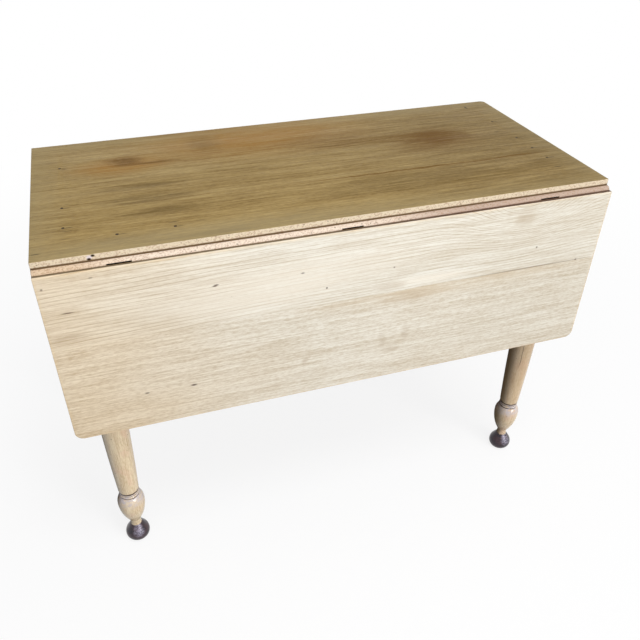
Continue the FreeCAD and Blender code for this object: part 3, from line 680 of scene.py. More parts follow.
@dataclass(frozen=True)
class LeafFinish(Finish):
    """Pale sun-bleached leaf board with soft tan lines, flecks and a few dark scars."""

    name: str
    sawing: Sawing
    low: Triple
    high: Triple
    marks: tuple[Mark, ...]
    scars: tuple[Mark, ...]
    line_weight: float
    fleck_weight: float
    stain_push: float = 0.01
    scar_push: float = 0.002
    rub_reach: float = 0.006
    rub_breakup: float = 0.008
    grain_depth: float = 0.0003
    pale: Colour = srgb(246, 243, 232)
    deep: Colour = srgb(198, 182, 155)
    warm: Colour = srgb(238, 208, 160)
    grime: Colour = srgb(120, 92, 66)
    # the next two colours are painted shade of the gap under the top's ovolo, used towards the left and the
    # right end
    soot: Colour = srgb(112, 94, 68)
    stain: Colour = srgb(92, 68, 52)
    shade: Colour = (0.925, 0.92, 0.91)

    def lay(self, coat: Coat) -> None:
        """Covers a new material with the leaf's finish.

        Args:
            coat: The material.
        """
        coat.saw(self.sawing, coat.place)
        drift = coat.math("SUBTRACT", coat.noise(coat.place, (3.0, 9.0, 9.0), 3.0), 0.5)
        bite = coat.lines(0.55, Fibre=0.5, Streak=0.4)
        wood = coat.marked(coat.torn(self.stain_push), self._bleached(coat, drift), self.marks, bite)
        wood = coat.marked(coat.torn(self.scar_push), wood, self.scars)
        rub = coat.rubbed(self.low, self.high, self.rub_reach, self.rub_breakup)
        wood = coat.over(wood, self.warm, rub, 0.25)
        wood = coat.over(wood, self.grime, coat.specks(60.0, 0.06, 0.03), 0.6)
        # painted shade of the gap under the top's ovolo along the upper edge
        wood = self._soiled_lip(coat, drift, wood)
        sheen = coat.lines(0.42, Fibre=0.1, Tone=0.1, Fleck=0.06)
        raised = coat.lines(Fibre=0.35, Ring=0.35, Pore=-0.6, Fleck=self.fleck_weight)
        values = {"Base Color": wood, "Roughness": sheen, "Specular IOR Level": 0.28}
        coat.cover(values, raised, self.grain_depth)

    def _bleached(self, coat: Coat, drift: Socket) -> Socket:
        """Bleached wood, warmer to the left and towards the floor, with painted shade dimming it to the
        right.

        Args:
            coat: The material.
            drift: Slow noise about zero.

        Returns:
            The colour's socket.
        """
        along, _, height = coat.split(coat.place)
        lines = coat.lines(Ring=self.line_weight, Fibre=0.36, Tone=0.12, Fleck=self.fleck_weight, Streak=0.12)
        wood = coat.mix(lines, self.pale, self.deep)
        to_left = coat.ease(coat.sum((along, -1.0), (drift, 0.35)), 0.05, 0.56)
        to_floor = coat.less(coat.ease(coat.sum((drift, 0.12), base=height), 0.36, 0.6))
        warmth = coat.sum((to_left, 0.58), (to_floor, 0.12))
        wood = coat.mix(warmth, wood, coat.mix(0.75, wood, self.warm, "MULTIPLY"))
        # painted shade: the wood is dimmed towards the right end of the leaf
        painted_shade_share = coat.ease(coat.sum((drift, 0.2), base=along), 0.06, 0.46)
        return coat.mix(painted_shade_share, wood, self.shade, "MULTIPLY")

    def _soiled_lip(self, coat: Coat, drift: Socket, wood: Plug) -> Socket:
        """Wood with painted shade on the board's upper edge, in the gap under the top's ovolo, stopping short
        of its outer arris.

        Args:
            coat: The material.
            drift: Slow noise about zero.
            wood: Colour below the painted shade.

        Returns:
            The colour's socket.
        """
        along, depth, height = coat.split(coat.place)
        # painted shade along the upper edge in the gap under the ovolo; dirt and soiled carry it, worn is the
        # width left pale along the outer arris
        lip = self.high[2]
        face = max(abs(self.low[1]), abs(self.high[1]))
        dirt = coat.mix(coat.ease(coat.sum((drift, 1.5), base=along), -0.45, 0.35), self.soot, self.stain)
        inwards = coat.math("SUBTRACT", face, coat.math("ABSOLUTE", depth))
        worn = coat.sum((coat.ease(along, -0.3, 0.45), -0.0024), (drift, 0.003), base=0.0032)
        inside = coat.ease(coat.math("SUBTRACT", inwards, worn), -0.0006, 0.0006)
        soiled = coat.math("MULTIPLY", coat.ease(height, lip - 0.0022, lip - 0.001), inside)
        return coat.mix(soiled, wood, dirt)


@dataclass(frozen=True)
class TurnedFinish(Finish):
    """Pale turned wood: grain up the leg, dirt in its grooves, fine drying cracks, painted shade and a
    painted reflection.
    """

    name: str
    crack_place: Triple
    crack_turn: float
    crack_reach: Triple = (0.02, 0.02, 0.085)
    crack_wander: float = 0.0042
    crack_width: Point = (0.00016, 0.0009)
    brown_reach: Triple = (0.12, 0.12, 0.34)
    grain_depth: float = 0.0003
    wax_low: Point = (0.11, 0.134)
    wax_high: Point = (0.1515, 0.1525)
    shade_side: Triple = (-0.7, 0.714, 0.0)
    sawing: Sawing = Sawing(heart=(0.0, 0.43, 0.06), ring_width=0.0042, taper=0.012, waviness=0.006)
    pale: Colour = srgb(240, 222, 188)
    deep: Colour = srgb(190, 160, 120)
    brown: Colour = srgb(170, 134, 94)
    pink: Colour = srgb(226, 184, 158)
    dirt: Colour = srgb(58, 42, 32)
    unbleached: Colour = srgb(92, 74, 50)
    wax: Colour = srgb(196, 188, 192)

    def lay(self, coat: Coat) -> None:
        """Covers a new material with the leg's finish.

        Args:
            coat: The material.
        """
        x, y, z = coat.split(coat.place)
        coat.saw(self.sawing, coat.combine(z, x, y))
        wood = self._wood(coat, z)
        hollows = coat.node("ShaderNodeAttribute", attribute_name="hollow").outputs["Fac"]
        uneven = coat.ease(coat.noise(coat.place, (70.0, 70.0, 120.0), 3.0), 0.25, 0.7)
        soiled = coat.math("MULTIPLY", hollows, coat.math("MULTIPLY_ADD", uneven, 0.3, 0.68))
        wood = coat.mix(soiled, wood, self.dirt)
        # painted shade: darker colour and less coat on the side of the leg that faces away from the key lamp
        away = coat.ease(coat.vector("DOT_PRODUCT", coat.normal, self.shade_side), -0.05, 0.7)
        wood = coat.over(wood, self.unbleached, away, 0.5)
        crack = self._crack(coat)
        wood = coat.over(wood, self.dirt, crack, 0.8)
        sheen = coat.lines(0.17, Fibre=0.08, Tone=0.06)
        lathe_lines = coat.noise(coat.place, (0.0, 0.0, 900.0))
        raised = coat.lines(coat.sum((lathe_lines, 0.25), (crack, -3.0)), Fibre=0.5, Pore=-0.4)
        coat.cover({"Base Color": wood, "Roughness": sheen, "Specular IOR Level": 0.0, "Coat Roughness": 0.17,
                    "Coat Weight": coat.sum((away, -0.9), base=0.9)}, raised, self.grain_depth)

    def _wood(self, coat: Coat, height: Socket) -> Socket:
        """Pale wood with pink and brown patches and dark specks, and a cloudy painted reflection on the vase
        and its rings.

        Args:
            coat: The material.
            height: Height above the floor.

        Returns:
            The colour's socket.
        """
        lines = coat.lines(Ring=0.16, Fibre=0.26, Streak=0.26, Fleck=0.3)
        blush = coat.ease(coat.noise(coat.place, (40.0, 40.0, 26.0)), 0.5, 0.7)
        wood = coat.over(coat.mix(lines, self.pale, self.deep), self.pink, blush, 0.35)
        browned = coat.spot(coat.place, self.crack_place, self.brown_reach, 0.3)
        wood = coat.over(wood, self.brown, browned, 0.45)
        wood = coat.over(wood, self.dirt, coat.specks(130.0, 0.24, 0.1), 0.45)
        # painted reflection: a cloudy pale lilac band over the vase's shoulder and its rings
        below = coat.less(coat.ease(height, *self.wax_high))
        band = coat.math("MULTIPLY", coat.ease(height, *self.wax_low), below)
        cloudy = coat.ease(coat.noise(coat.place, (90.0, 90.0, 160.0), 3.0, 0.6), 0.34, 0.62)
        painted_reflection_share = coat.math("MULTIPLY", band, coat.math("MULTIPLY_ADD", cloudy, 0.62, 0.26))
        return coat.mix(painted_reflection_share, wood, self.wax)

    def _crack(self, coat: Coat) -> Socket:
        """Mask of a fine drying crack up the leg.

        Args:
            coat: The material.

        Returns:
            The mask's socket.
        """
        wander = coat.math("SUBTRACT", coat.noise(coat.place, (1.0, 1.0, 45.0), 3.0), 0.5)
        across = (-math.sin(self.crack_turn), math.cos(self.crack_turn), 0.0)
        off = coat.vector("DOT_PRODUCT", coat.vector("SUBTRACT", coat.place, self.crack_place), across)
        off = coat.math("ABSOLUTE", coat.math("MULTIPLY_ADD", wander, self.crack_wander, off))
        stretch = coat.spot(coat.place, self.crack_place, self.crack_reach, 0.55)
        return coat.math("MULTIPLY", coat.less(coat.ease(off, *self.crack_width)), stretch)


@dataclass(frozen=True)
class VarnishFinish(Finish):
    """Dark varnish on a turned foot, worn through to red brown where it rubs, with a painted highlight."""

    name: str
    scuff_band: Point = (0.002, 0.016)
    scuff_depth: float = 0.0004
    bloom_side: Triple = (0.1, -0.8, 0.59)
    dark: Colour = srgb(20, 15, 16)
    plum: Colour = srgb(60, 40, 40)
    worn: Colour = srgb(118, 80, 66)
    bloom: Colour = srgb(168, 161, 180)
    gleam: Colour = (0.86, 0.83, 1.0)

    def lay(self, coat: Coat) -> None:
        """Covers a new material with the varnish.

        Args:
            coat: The material.
        """
        _, _, height = coat.split(coat.place)
        cloud = coat.noise(coat.place, (60.0, 60.0, 90.0), 4.0, 0.6)
        colour = coat.mix(coat.ease(cloud, 0.35, 0.65), self.dark, self.plum)
        scuffs = coat.noise(coat.place, (150.0, 150.0, 420.0), 4.0, 0.7)
        low = coat.less(coat.ease(height, *self.scuff_band))
        worn = coat.ease(coat.sum((low, 0.16), base=scuffs), 0.6, 0.74)
        colour = coat.over(colour, self.worn, worn, 0.75)
        # painted highlight: a pale lilac patch, broken by the scuffs, where the foot faces front and upwards
        facing = coat.vector("DOT_PRODUCT", coat.normal, self.bloom_side)
        painted_highlight_share = coat.math("MULTIPLY", coat.ease(facing, 0.8, 1.0), coat.ease(scuffs, 0.36, 0.6))
        colour = coat.over(colour, self.bloom, painted_highlight_share, 0.66)
        sheen = coat.sum((cloud, 0.2), (worn, 0.25), base=0.2)
        rings = coat.noise(coat.place, (0.0, 0.0, 700.0))
        raised = coat.sum((rings, 0.5), (scuffs, 0.9), (worn, -0.4))
        coat.cover({"Base Color": colour, "Roughness": sheen, "Specular IOR Level": 0.5, "Coat Weight": 0.15,
                    "Specular Tint": self.gleam, "Coat Roughness": 0.3}, raised, self.scuff_depth, 0.7)


@dataclass(frozen=True)
class BareFinish(Finish):
    """Sawn and planed wood that was never finished, with saw lines and clouds of dust."""

    name: str
    sawing: Sawing
    along_y: bool = False
    saw_depth: float = 0.0004
    pale: Colour = srgb(206, 176, 132)
    deep: Colour = srgb(160, 124, 84)
    dust: Colour = srgb(120, 96, 70)

    def lay(self, coat: Coat) -> None:
        """Covers a new material with the bare wood.

        Args:
            coat: The material.
        """
        x, y, z = coat.split(coat.place)
        place = coat.combine(y, x, z) if self.along_y else coat.place
        coat.saw(self.sawing, place)
        lines = coat.lines(Ring=0.35, Fibre=0.25, Streak=0.25, Tone=0.3)
        grime = coat.ease(coat.noise(place, (14.0, 22.0, 22.0), 4.0, 0.6), 0.5, 0.75)
        wood = coat.over(coat.mix(lines, self.pale, self.deep), self.dust, grime, 0.4)
        sheen = coat.lines(coat.sum((grime, 0.1), base=0.55), Fibre=0.2)
        saw = coat.math("MULTIPLY", coat.noise(place, (520.0, 3.0, 3.0)), 0.45)
        coat.cover({"Base Color": wood, "Roughness": sheen, "Specular IOR Level": 0.25},
                   coat.lines(saw, Fibre=0.5, Pore=-0.4), self.saw_depth)


@dataclass(frozen=True)
class IronFinish(Finish):
    """Old forged iron: dark scale, worn brighter on its high spots, rust in the pits."""

    name: str
    beaten_depth: float = 0.0004
    scale: Colour = srgb(58, 54, 52)
    bright: Colour = srgb(112, 106, 100)
    rust: Colour = srgb(98, 58, 38)

    def lay(self, coat: Coat) -> None:
        """Covers a new material with the iron.

        Args:
            coat: The material.
        """
        beaten = coat.noise(coat.place, (160.0, 160.0, 160.0), 3.0, 0.6)
        fine = coat.noise(coat.place, (900.0, 900.0, 900.0), 3.0, 0.7)
        metal = coat.mix(coat.ease(beaten, 0.52, 0.72), self.scale, self.bright)
        blotches = coat.noise(coat.place, (75.0, 75.0, 75.0), 4.0, 0.7)
        rusty = coat.ease(coat.sum((blotches, 0.8), (fine, 0.25)), 0.5, 0.66)
        values = {"Base Color": coat.mix(rusty, metal, self.rust),
                  "Metallic": coat.math("MULTIPLY", coat.less(rusty), 0.85),
                  "Roughness": coat.sum((rusty, 0.35), (fine, 0.2), base=0.36)}
        coat.cover(values, coat.sum((beaten, 0.8), (fine, 0.3), (rusty, 0.3)), self.beaten_depth, 0.7)


def link(name: str, data: bpy.types.ID) -> Piece:
    """Puts an object into the scene at the origin.

    Args:
        name: Name of the object.
        data: Its mesh, lamp or camera.

    Returns:
        The new object.
    """
    made = bpy.data.objects.new(name, data)
    bpy.context.scene.collection.objects.link(made)
    return made


def smooth(mesh: Mesh, angle: float = 32.0) -> None:
    """Shades a mesh smooth and keeps edges above the angle, in degrees, sharp."""
    mesh.polygons.foreach_set("use_smooth", [True] * len(mesh.polygons))
    mesh.set_sharp_from_angle(angle=math.radians(angle))


def seat(piece: Piece, body: str, slot: str, *nodes: str) -> None:
    """Hands a finished piece to the frame and reports it.

    Args:
        piece: The piece.
        body: Body that it rides on.
        slot: Material slot of the record; not used.
        *nodes: Nodes that it stands for.
    """
    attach(piece, body)
    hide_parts(*nodes)
    LOG.info("%s: %d faces on %s", piece.name, len(piece.data.polygons), body)


def close_up(work: bmesh.types.BMesh, mesh: Mesh) -> Mesh:
    """Writes worked points into a mesh and frees them.

    Args:
        work: The worked points, edges and faces.
        mesh: Mesh that takes them.

    Returns:
        The mesh.
    """
    work.to_mesh(mesh)
    work.free()
    return mesh


def welded(mesh: Mesh) -> bmesh.types.BMesh:
    """Copy of a mesh to work on, with its doubled points made one.

    Args:
        mesh: The mesh.

    Returns:
        The copy, which the caller frees.
    """
    work = bmesh.new()
    work.from_mesh(mesh)
    bmesh.ops.remove_doubles(work, verts=work.verts, dist=WELD_DISTANCE)
    return work


def outward(mesh: Mesh) -> None:
    """Turns every face of a closed mesh outwards.

    Args:
        mesh: The mesh.
    """
    work = bmesh.new()
    work.from_mesh(mesh)
    bmesh.ops.recalc_face_normals(work, faces=work.faces)
    close_up(work, mesh)


def set_in(points: list[Point], depth: float) -> list[Point]:
    """A closed outline drawn in by an even depth.

    Args:
        points: Corners of the outline, in order.
        depth: How far its lines move inwards.

    Returns:
        The new corners, one for each old one.
    """
    if depth <= 0:
        return points
    corners = np.array(points)
    ahead = np.roll(corners, -1, axis=0) - corners
    ahead /= np.maximum(np.linalg.norm(ahead, axis=1), SHORTEST)[:, None]
    both = ahead + np.roll(ahead, 1, axis=0)
    following = np.roll(corners, -1, axis=0)
    area = np.sum(corners[:, 0] * following[:, 1] - following[:, 0] * corners[:, 1])
    inward = np.stack([-both[:, 1], both[:, 0]], axis=1) * (1.0 if area > 0 else -1.0)
    inward /= np.maximum(np.linalg.norm(inward, axis=1), SHORTEST)[:, None]
    return [tuple(corner) for corner in corners + inward * depth]


def arc(centre: Point, radius: float, start: float, end: float, steps: int) -> list[Point]:
    """Points on an arc between two angles, in degrees from the first axis towards the second."""
    angles = [math.radians(start + (end - start) * i / steps) for i in range(steps + 1)]
    return [(centre[0] + radius * math.cos(a), centre[1] + radius * math.sin(a)) for a in angles]


def prism(mesh_name: str, sections: list[tuple[float, list[Point]]]) -> Mesh:
    """A closed solid through outlines that stand across X.

    Args:
        mesh_name: Name of the mesh.
        sections: Place along X and outline in (Y, Z) of each section, with equal counts of corners.

    Returns:
        The mesh, its faces pointing outwards.
    """
    work = bmesh.new()
    rings = [[work.verts.new((x, y, z)) for y, z in outline] for x, outline in sections]
    count = len(rings[0])
    for near, far in zip(rings, rings[1:]):
        for i in range(count):
            j = (i + 1) % count
            work.faces.new((near[i], near[j], far[j], far[i]))
    work.faces.new(rings[0])
    work.faces.new(list(reversed(rings[-1])))
    bmesh.ops.recalc_face_normals(work, faces=work.faces)
    return close_up(work, bpy.data.meshes.new(mesh_name))


def carve(piece: Piece, cutters: list[Mesh]) -> None:
    """Takes closed shapes out of a piece and leaves it a plain mesh.

    Args:
        piece: The piece to cut.
        cutters: Closed meshes to take away; they are removed afterwards.
    """
    for cutter in cutters:
        modifier = piece.modifiers.new("carve", "BOOLEAN")
        modifier.operation = "DIFFERENCE"
        modifier.solver = "EXACT"
        modifier.object = link("cutter", cutter)
    graph = bpy.context.evaluated_depsgraph_get()
    made = bpy.data.meshes.new_from_object(piece.evaluated_get(graph), depsgraph=graph)
    for modifier in list(piece.modifiers):
        tool = modifier.object
        piece.modifiers.remove(modifier)
        bpy.data.objects.remove(tool)
    piece.data = made


@dataclass
class Board(ABC):
    """A board with its grain along X, drawn as a section that changes a little along its length.

    A section is given as (out, up): how far out from the hinge pin's upright plane and how far above the pin.
    """

    places: FramePlaces
    side: Side
    finish: Finish
    arris: float = 0.0009
    arris_wear: float = 0.0005
    arris_steps: int = 5
    wear_knots: int = 90
    end_round: float = 0.0009
    end_steps: int = 4
    spacing: float = 0.012
    gain_room: float = 0.0004
    plate: float = 0.002
    seed: int = 3

    @property
    @abstractmethod
    def node(self) -> str:
        """Name of the node that the board stands for."""

    @abstractmethod
    def section(self, x: float, arris: float) -> list[Point]:
        """Corners (out, up) of the outline at a place along the board, with the radius of its arrises."""

    @property
    def lip(self) -> float:
        """Height of the top's face above the pin."""
        return self.places.top - self.places.pin_height

    @property
    def knuckle(self) -> float:
        """Radius of the hinge knuckle, which the pin lies above the underside by."""
        return self.places.pin_height - self.places.underside

    def closer(self) -> Iterable[float]:
        """Places along the board that need a section of their own."""
        return ()

    def stations(self) -> list[float]:
        """Places along the board where its section is drawn.

        Returns:
            The places in order, from the left end to the right one.
        """
        half = self.places.half_length
        count = round(2 * half / self.spacing)
        even = np.linspace(-half, half, count + 1)[1:-1]
        turns = [math.radians(90 * i / self.end_steps) for i in range(self.end_steps + 1)]
        ends = [sign * (half - self.end_round * (1 - math.cos(turn))) for sign in (-1, 1) for turn in turns]
        return sorted({round(float(x), 6) for x in [*even, *ends, *self.closer()]})

    def build(self) -> Mesh:
        """Draws every section and skins them.

        Returns:
            The board's mesh, in place.
        """
        rng = np.random.default_rng(self.seed)
        half = self.places.half_length
        knots = np.linspace(-half, half, self.wear_knots)
        wear = np.interp(self.stations(), knots, rng.random(len(knots)))
        sections = []
        for x, share in zip(self.stations(), wear):
            outline = self.section(x, self.arris + self.arris_wear * share)
            gap = max(0.0, self.end_round - (half - abs(x)))
            outline = set_in(outline, self.end_round - math.sqrt(max(self.end_round ** 2 - gap ** 2, 0.0)))
            sections.append((x, [(self.side.value * (self.places.pin_out + out), self.places.pin_height + up)
                                 for out, up in outline]))
        return prism(self.node, sections)

    def cutters(self) -> list[Mesh]:
        """Shapes that are let into the board."""
        return []

    def gains(self, outline: list[Point]) -> list[Mesh]:
        """Cutters as wide as a hinge, one at each hinge.

        Args:
            outline: Outline in (out from the middle, height).

        Returns:
            The closed meshes to cut with.
        """
        outline = [(self.side.value * out, up) for out, up in outline]
        half = self.places.hinge_half_width + self.gain_room
        return [prism("cutter", [(middle - half, outline), (middle + half, outline)])
                for middle in self.places.hinge_middles]

    def dress(self, body: str, slot: str) -> None:
        """Builds the board, lets its fittings in and finishes it.

        Args:
            body: Body that the board rides on.
            slot: Its material slot in the record.
        """
        piece = link(f"{self.node}_wood", self.build())
        tools = self.cutters()
        if tools:
            carve(piece, tools)
        piece.data.materials.clear()
        piece.data.materials.append(self.finish.material())
        smooth(piece.data)
        seat(piece, body, slot, self.node)


@dataclass
class TopBoard(Board):
    """One board of the fixed top: fillet and ovolo along its outer edge, the glue joint along the other."""

    ovolo: float = 0.009
    ovolo_rise: float = 0.006
    ovolo_steps: int = 16
    joint_ease: float = 0.0004
    gain_front: float = 0.0016
    plate_reach: float = 0.028
    nails: tuple["Driven", ...] = ()
    nail_hole: float = 0.0025
    nail_hole_flare: float = 1.12
    nail_hole_depth: float = 0.003
    nail_hole_sides: int = 20
    round_corner: float = 0.012
    corner_cuts: int = 9
    corner_turn: float = 80.0
    chip_place: float = -0.426
    chip_half: float = 0.006
    chip_depth: float = 0.0022
    chip_cuts: int = 13

    @property
    def node(self) -> str:
        """Name of the node that the board stands for."""
        return f"top_{self.side.word}_board"

    def closer(self) -> Iterable[float]:
        """Places of the chip's sections on the front board, or of the worn corner's on the rear one.

        Returns:
            The places along the board.
        """
        if self.side is Side.FRONT:
            return self.chip_place + self.chip_half * np.linspace(-1, 1, self.chip_cuts)
        turns = np.radians(np.linspace(0, self.corner_turn, self.corner_cuts))
        return self.places.half_length - self.round_corner * (1 - np.sin(turns))

    def corner_loss(self, x: float) -> float:
        """How far the worn rear corner stands back.

        Args:
            x: Place along the board.

        Returns:
            The loss there.
        """
        reach = x - (self.places.half_length - self.round_corner)
        if self.side is Side.FRONT or reach <= 0:
            return 0.0
        return self.round_corner - math.sqrt(max(self.round_corner ** 2 - reach ** 2, 0.0))

    def section(self, x: float, arris: float) -> list[Point]:
        """Outline of the board: glue joint, worn arris, fillet, ovolo and underside.

        Args:
            x: Place along the board.
            arris: Radius of the worn arris there.

        Returns:
            The outline's corners as (out, up).
        """
        joint = abs(self.places.top_joint * self.side.value - self.places.pin_out)
        if self.side is Side.FRONT:
            away = abs(x - self.chip_place) / self.chip_half
            arris += self.chip_depth * max(0.0, 1 - away ** 2)
        foot = -math.degrees(math.asin(self.knuckle / self.ovolo))
        flat = self.ovolo_rise / self.ovolo
        points = [(-joint, -self.knuckle), (-joint, self.lip - self.joint_ease),
                  (-joint + self.joint_ease, self.lip)]
        points += arc((-arris, self.lip - arris), arris, 90, 0, self.arris_steps)
        points += [(out, up * flat if up > 0 else up)
                   for out, up in arc((0.0, 0.0), self.ovolo, 90, foot, self.ovolo_steps)]
        loss = self.corner_loss(x)
        return [(out - loss * (out > -joint / 2), up) for out, up in points]

    def cutters(self) -> list[Mesh]:
        """Gains of the hinge plates and knuckles, and the sunk holes over the nails.

        Returns:
            The closed meshes to cut with.
        """
        pin, pin_height = self.places.pin_out, self.places.pin_height
        room, reach = self.gain_room, self.knuckle + self.gain_room
        floor, plate_top = self.places.underside - room, self.places.underside + self.plate
        inner, outer = pin - self.plate_reach - room, pin + self.ovolo + room
        front, barrel_top = pin_height + self.gain_front, pin_height + reach
        outline = [(inner, floor), (outer, floor), (outer, front), (pin + reach, front),
                   (pin + reach, barrel_top), (pin - reach, barrel_top), (pin - reach, plate_top),
                   (inner, plate_top)]
        near, far = sorted((self.side.value * pin, self.places.top_joint))
        return [*self.gains(outline),
                *(self.nail_cutter(nail) for nail in self.nails if near < nail.head.y < far)]

    def nail_cutter(self, nail: "Driven") -> Mesh:
        """Cutter of the sunk hole over one nail.

        Args:
            nail: Place of the nail.

        Returns:
            The closed mesh to cut with.
        """
        work = bmesh.new()
        bmesh.ops.create_cone(work, cap_ends=True, segments=self.nail_hole_sides, radius1=self.nail_hole,
                              radius2=self.nail_hole * self.nail_hole_flare, depth=2 * self.nail_hole_depth)
        bmesh.ops.translate(work, verts=work.verts, vec=(nail.head.x, nail.head.y, self.places.top))
        return close_up(work, bpy.data.meshes.new("cutter"))


@dataclass
class LeafBoard(Board):
    """One board of a leaf: the upper is coved to turn round the ovolo, the lower has round corners."""

    layer: Layer = Layer.UPPER
    cove: float = 0.0095
    cove_steps: int = 18
    tip_gap: float = 0.0004
    joint_ease: float = 0.0003
    corner: float = 0.016
    corner_cuts: int = 22
    corner_turn: float = 86.0
    plate_reach: float = 0.048

    @property
    def node(self) -> str:
        """Name of the node that the board stands for."""
        return f"{self.side.word}_leaf_{self.layer.word}_board"

    def closer(self) -> Iterable[float]:
        """Places of the sections where the lower corners turn.

        Returns:
            The places along the board.
        """
        if self.layer is Layer.UPPER:
            return ()
        turns = np.radians(np.linspace(0, self.corner_turn, self.corner_cuts))
        places = self.places.half_length - self.corner + self.corner * np.sin(turns)
        return [*places, *-places]

    def section(self, x: float, arris: float) -> list[Point]:
        """Outline of the board between its inner and outer face.

        Args:
            x: Place along the board.
            arris: Radius of the worn arrises there.

        Returns:
            The outline's corners as (out, up).
        """
        outer = self.places.leaf_outer - self.places.pin_out
        inner = self.places.leaf_inner - self.places.pin_out
        joint = self.places.leaf_joint - self.places.pin_height
        steps = self.arris_steps
        if self.layer is Layer.UPPER:
            start = -math.degrees(math.asin(self.tip_gap / self.cove))
            end = -180 + math.degrees(math.acos(-inner / self.cove))
            points = arc((0.0, 0.0), self.cove, start, end, self.cove_steps)
            points += [(inner, joint), (outer - self.joint_ease, joint), (outer, joint + self.joint_ease)]
            return points + arc((outer - arris, -self.tip_gap - arris), arris, 0, 90, steps)
        reach = max(0.0, abs(x) - (self.places.half_length - self.corner))
        bottom = self.places.leaf_bottom - self.places.pin_height
        bottom += self.corner - math.sqrt(max(self.corner ** 2 - reach ** 2, 0.0))
        points = [(inner, joint), (outer - self.joint_ease, joint), (outer, joint - self.joint_ease)]
        points += arc((outer - arris, bottom + arris), arris, 0, -90, steps)
        return points + arc((inner + arris, bottom + arris), arris, -90, -180, steps)

    def cutters(self) -> list[Mesh]:
        """Gains of the hinge plates in the inner face.

        Returns:
            The closed meshes to cut with.
        """
        if self.layer is Layer.LOWER:
            return []
        near, far = self.places.leaf_inner - self.gain_room, self.places.leaf_inner + self.plate
        top = self.places.pin_height
        floor = top - self.plate_reach - self.gain_room
        return self.gains([(near, floor), (far, floor), (far, top), (near, top)])


@dataclass(frozen=True)
class Driven:
    """Place of one nail, screw or peg: the middle of its head, and the way the head faces."""

    head: Vector
    outward: Vector

    @classmethod
    def find(cls, points: np.ndarray, end_band: float = 1e-4, alike: float = 1e-5) -> "Driven":
        """Finds the head of one fastener.

        Args:
            points: Corners of its solid.
            end_band: Length at each end whose width is measured.
            alike: Difference of radius below which both ends are as wide.

        Returns:
            The place. The wider end is the head, or the end further from the table's middle.
        """
        low, high = points.min(0), points.max(0)
        axis = int(np.argmax(high - low))
        head = (low + high) / 2
        radius = np.linalg.norm(np.delete(points - head, axis, axis=1), axis=1)
        near_low = radius[points[:, axis] < low[axis] + end_band].max()
        near_high = radius[points[:, axis] > high[axis] - end_band].max()
        at_high = near_high > near_low
        if abs(near_low - near_high) < alike:
            at_high = abs(high[axis]) > abs(low[axis])
        facing = Vector(ZERO)
        facing[axis] = 1.0 if at_high else -1.0
        head[axis] = high[axis] if at_high else low[axis]
        return cls(Vector(head), facing)


def loose_solids(mesh: Mesh) -> list[np.ndarray]:
    """Separates the solids of a mesh.

    Args:
        mesh: Mesh of one or more closed solids.

    Returns:
        The corners of each solid.
    """
    work = welded(mesh)
    waiting = set(work.verts)
    found = []
    while waiting:
        edge = [waiting.pop()]
        solid = []
        while edge:
            corner = edge.pop()
            solid.append(corner.co.copy())
            for line in corner.link_edges:
                other = line.other_vert(corner)
                if other in waiting:
                    waiting.remove(other)
                    edge.append(other)
        found.append(np.array(solid))
    work.free()
    return found


def driven_places(node: str) -> tuple[Driven, ...]:
    """Place of every fastener in a group node of the frame, in order."""
    found = [Driven.find(points) for points in loose_solids(frame["nodes"][node].data)]
    return tuple(sorted(found, key=lambda place: tuple(round(v, 5) for v in place.head)))


def new_nodes_tree(name: str, inputs: dict[str, str]) -> tuple[Bench, dict[str, Socket], Socket]:
    """Starts a Geometry Nodes tree.

    Args:
        name: Name of the tree.
        inputs: Kind of each named input after the geometry.

    Returns:
        The bench of the tree, its input sockets by name and the socket of the geometry that leaves it.
    """
    tree = bpy.data.node_groups.new(name, "GeometryNodeTree")
    tree.is_modifier = True
    for key, kind in {"Geometry": "Geometry", **inputs}.items():
        tree.interface.new_socket(key, in_out="INPUT", socket_type=f"NodeSocket{kind}")
    tree.interface.new_socket("Geometry", in_out="OUTPUT", socket_type="NodeSocketGeometry")
    bench = Bench(tree)
    entry = bench.node("NodeGroupInput")
    leave = bench.node("NodeGroupOutput")
    return bench, by_name(entry.outputs), leave.inputs[0]


def leave_tree(bench: Bench, made: Socket, material: Socket, leave: Socket) -> None:
    """Ends a Geometry Nodes tree in real geometry with its material.

    Args:
        bench: Bench of the tree.
        made: Socket of the finished geometry.
        material: Socket of the material.
        leave: Socket that the geometry leaves by.
    """
    real = bench.node("GeometryNodeRealizeInstances", {"Geometry": made})
    coat = bench.node("GeometryNodeSetMaterial", {"Geometry": real.outputs[0], "Material": material})
    bench.join(coat.outputs[0], leave)


def run_nodes(name: str, mesh: Mesh, tree: Tree, values: dict[str, object]) -> Piece:
    """Runs a Geometry Nodes tree on a mesh and keeps its plain result.

    Args:
        name: Name of the piece.
        mesh: Mesh that goes into the tree.
        tree: The tree.
        values: Value of each named input.

    Returns:
        The piece, with no modifier left on it.
    """
    piece = link(name, mesh)
    modifier = piece.modifiers.new("nodes", "NODES")
    modifier.node_group = tree
    keys = {item.name: item.identifier for item in tree.interface.items_tree
            if item.item_type == "SOCKET" and item.in_out == "INPUT"}
    for key, value in values.items():
        modifier[keys[key]] = value
    graph = bpy.context.evaluated_depsgraph_get()
    made = bpy.data.meshes.new_from_object(piece.evaluated_get(graph), preserve_all_data_layers=True,
                                           depsgraph=graph)
    piece.modifiers.remove(modifier)
    piece.data = made
    return piece


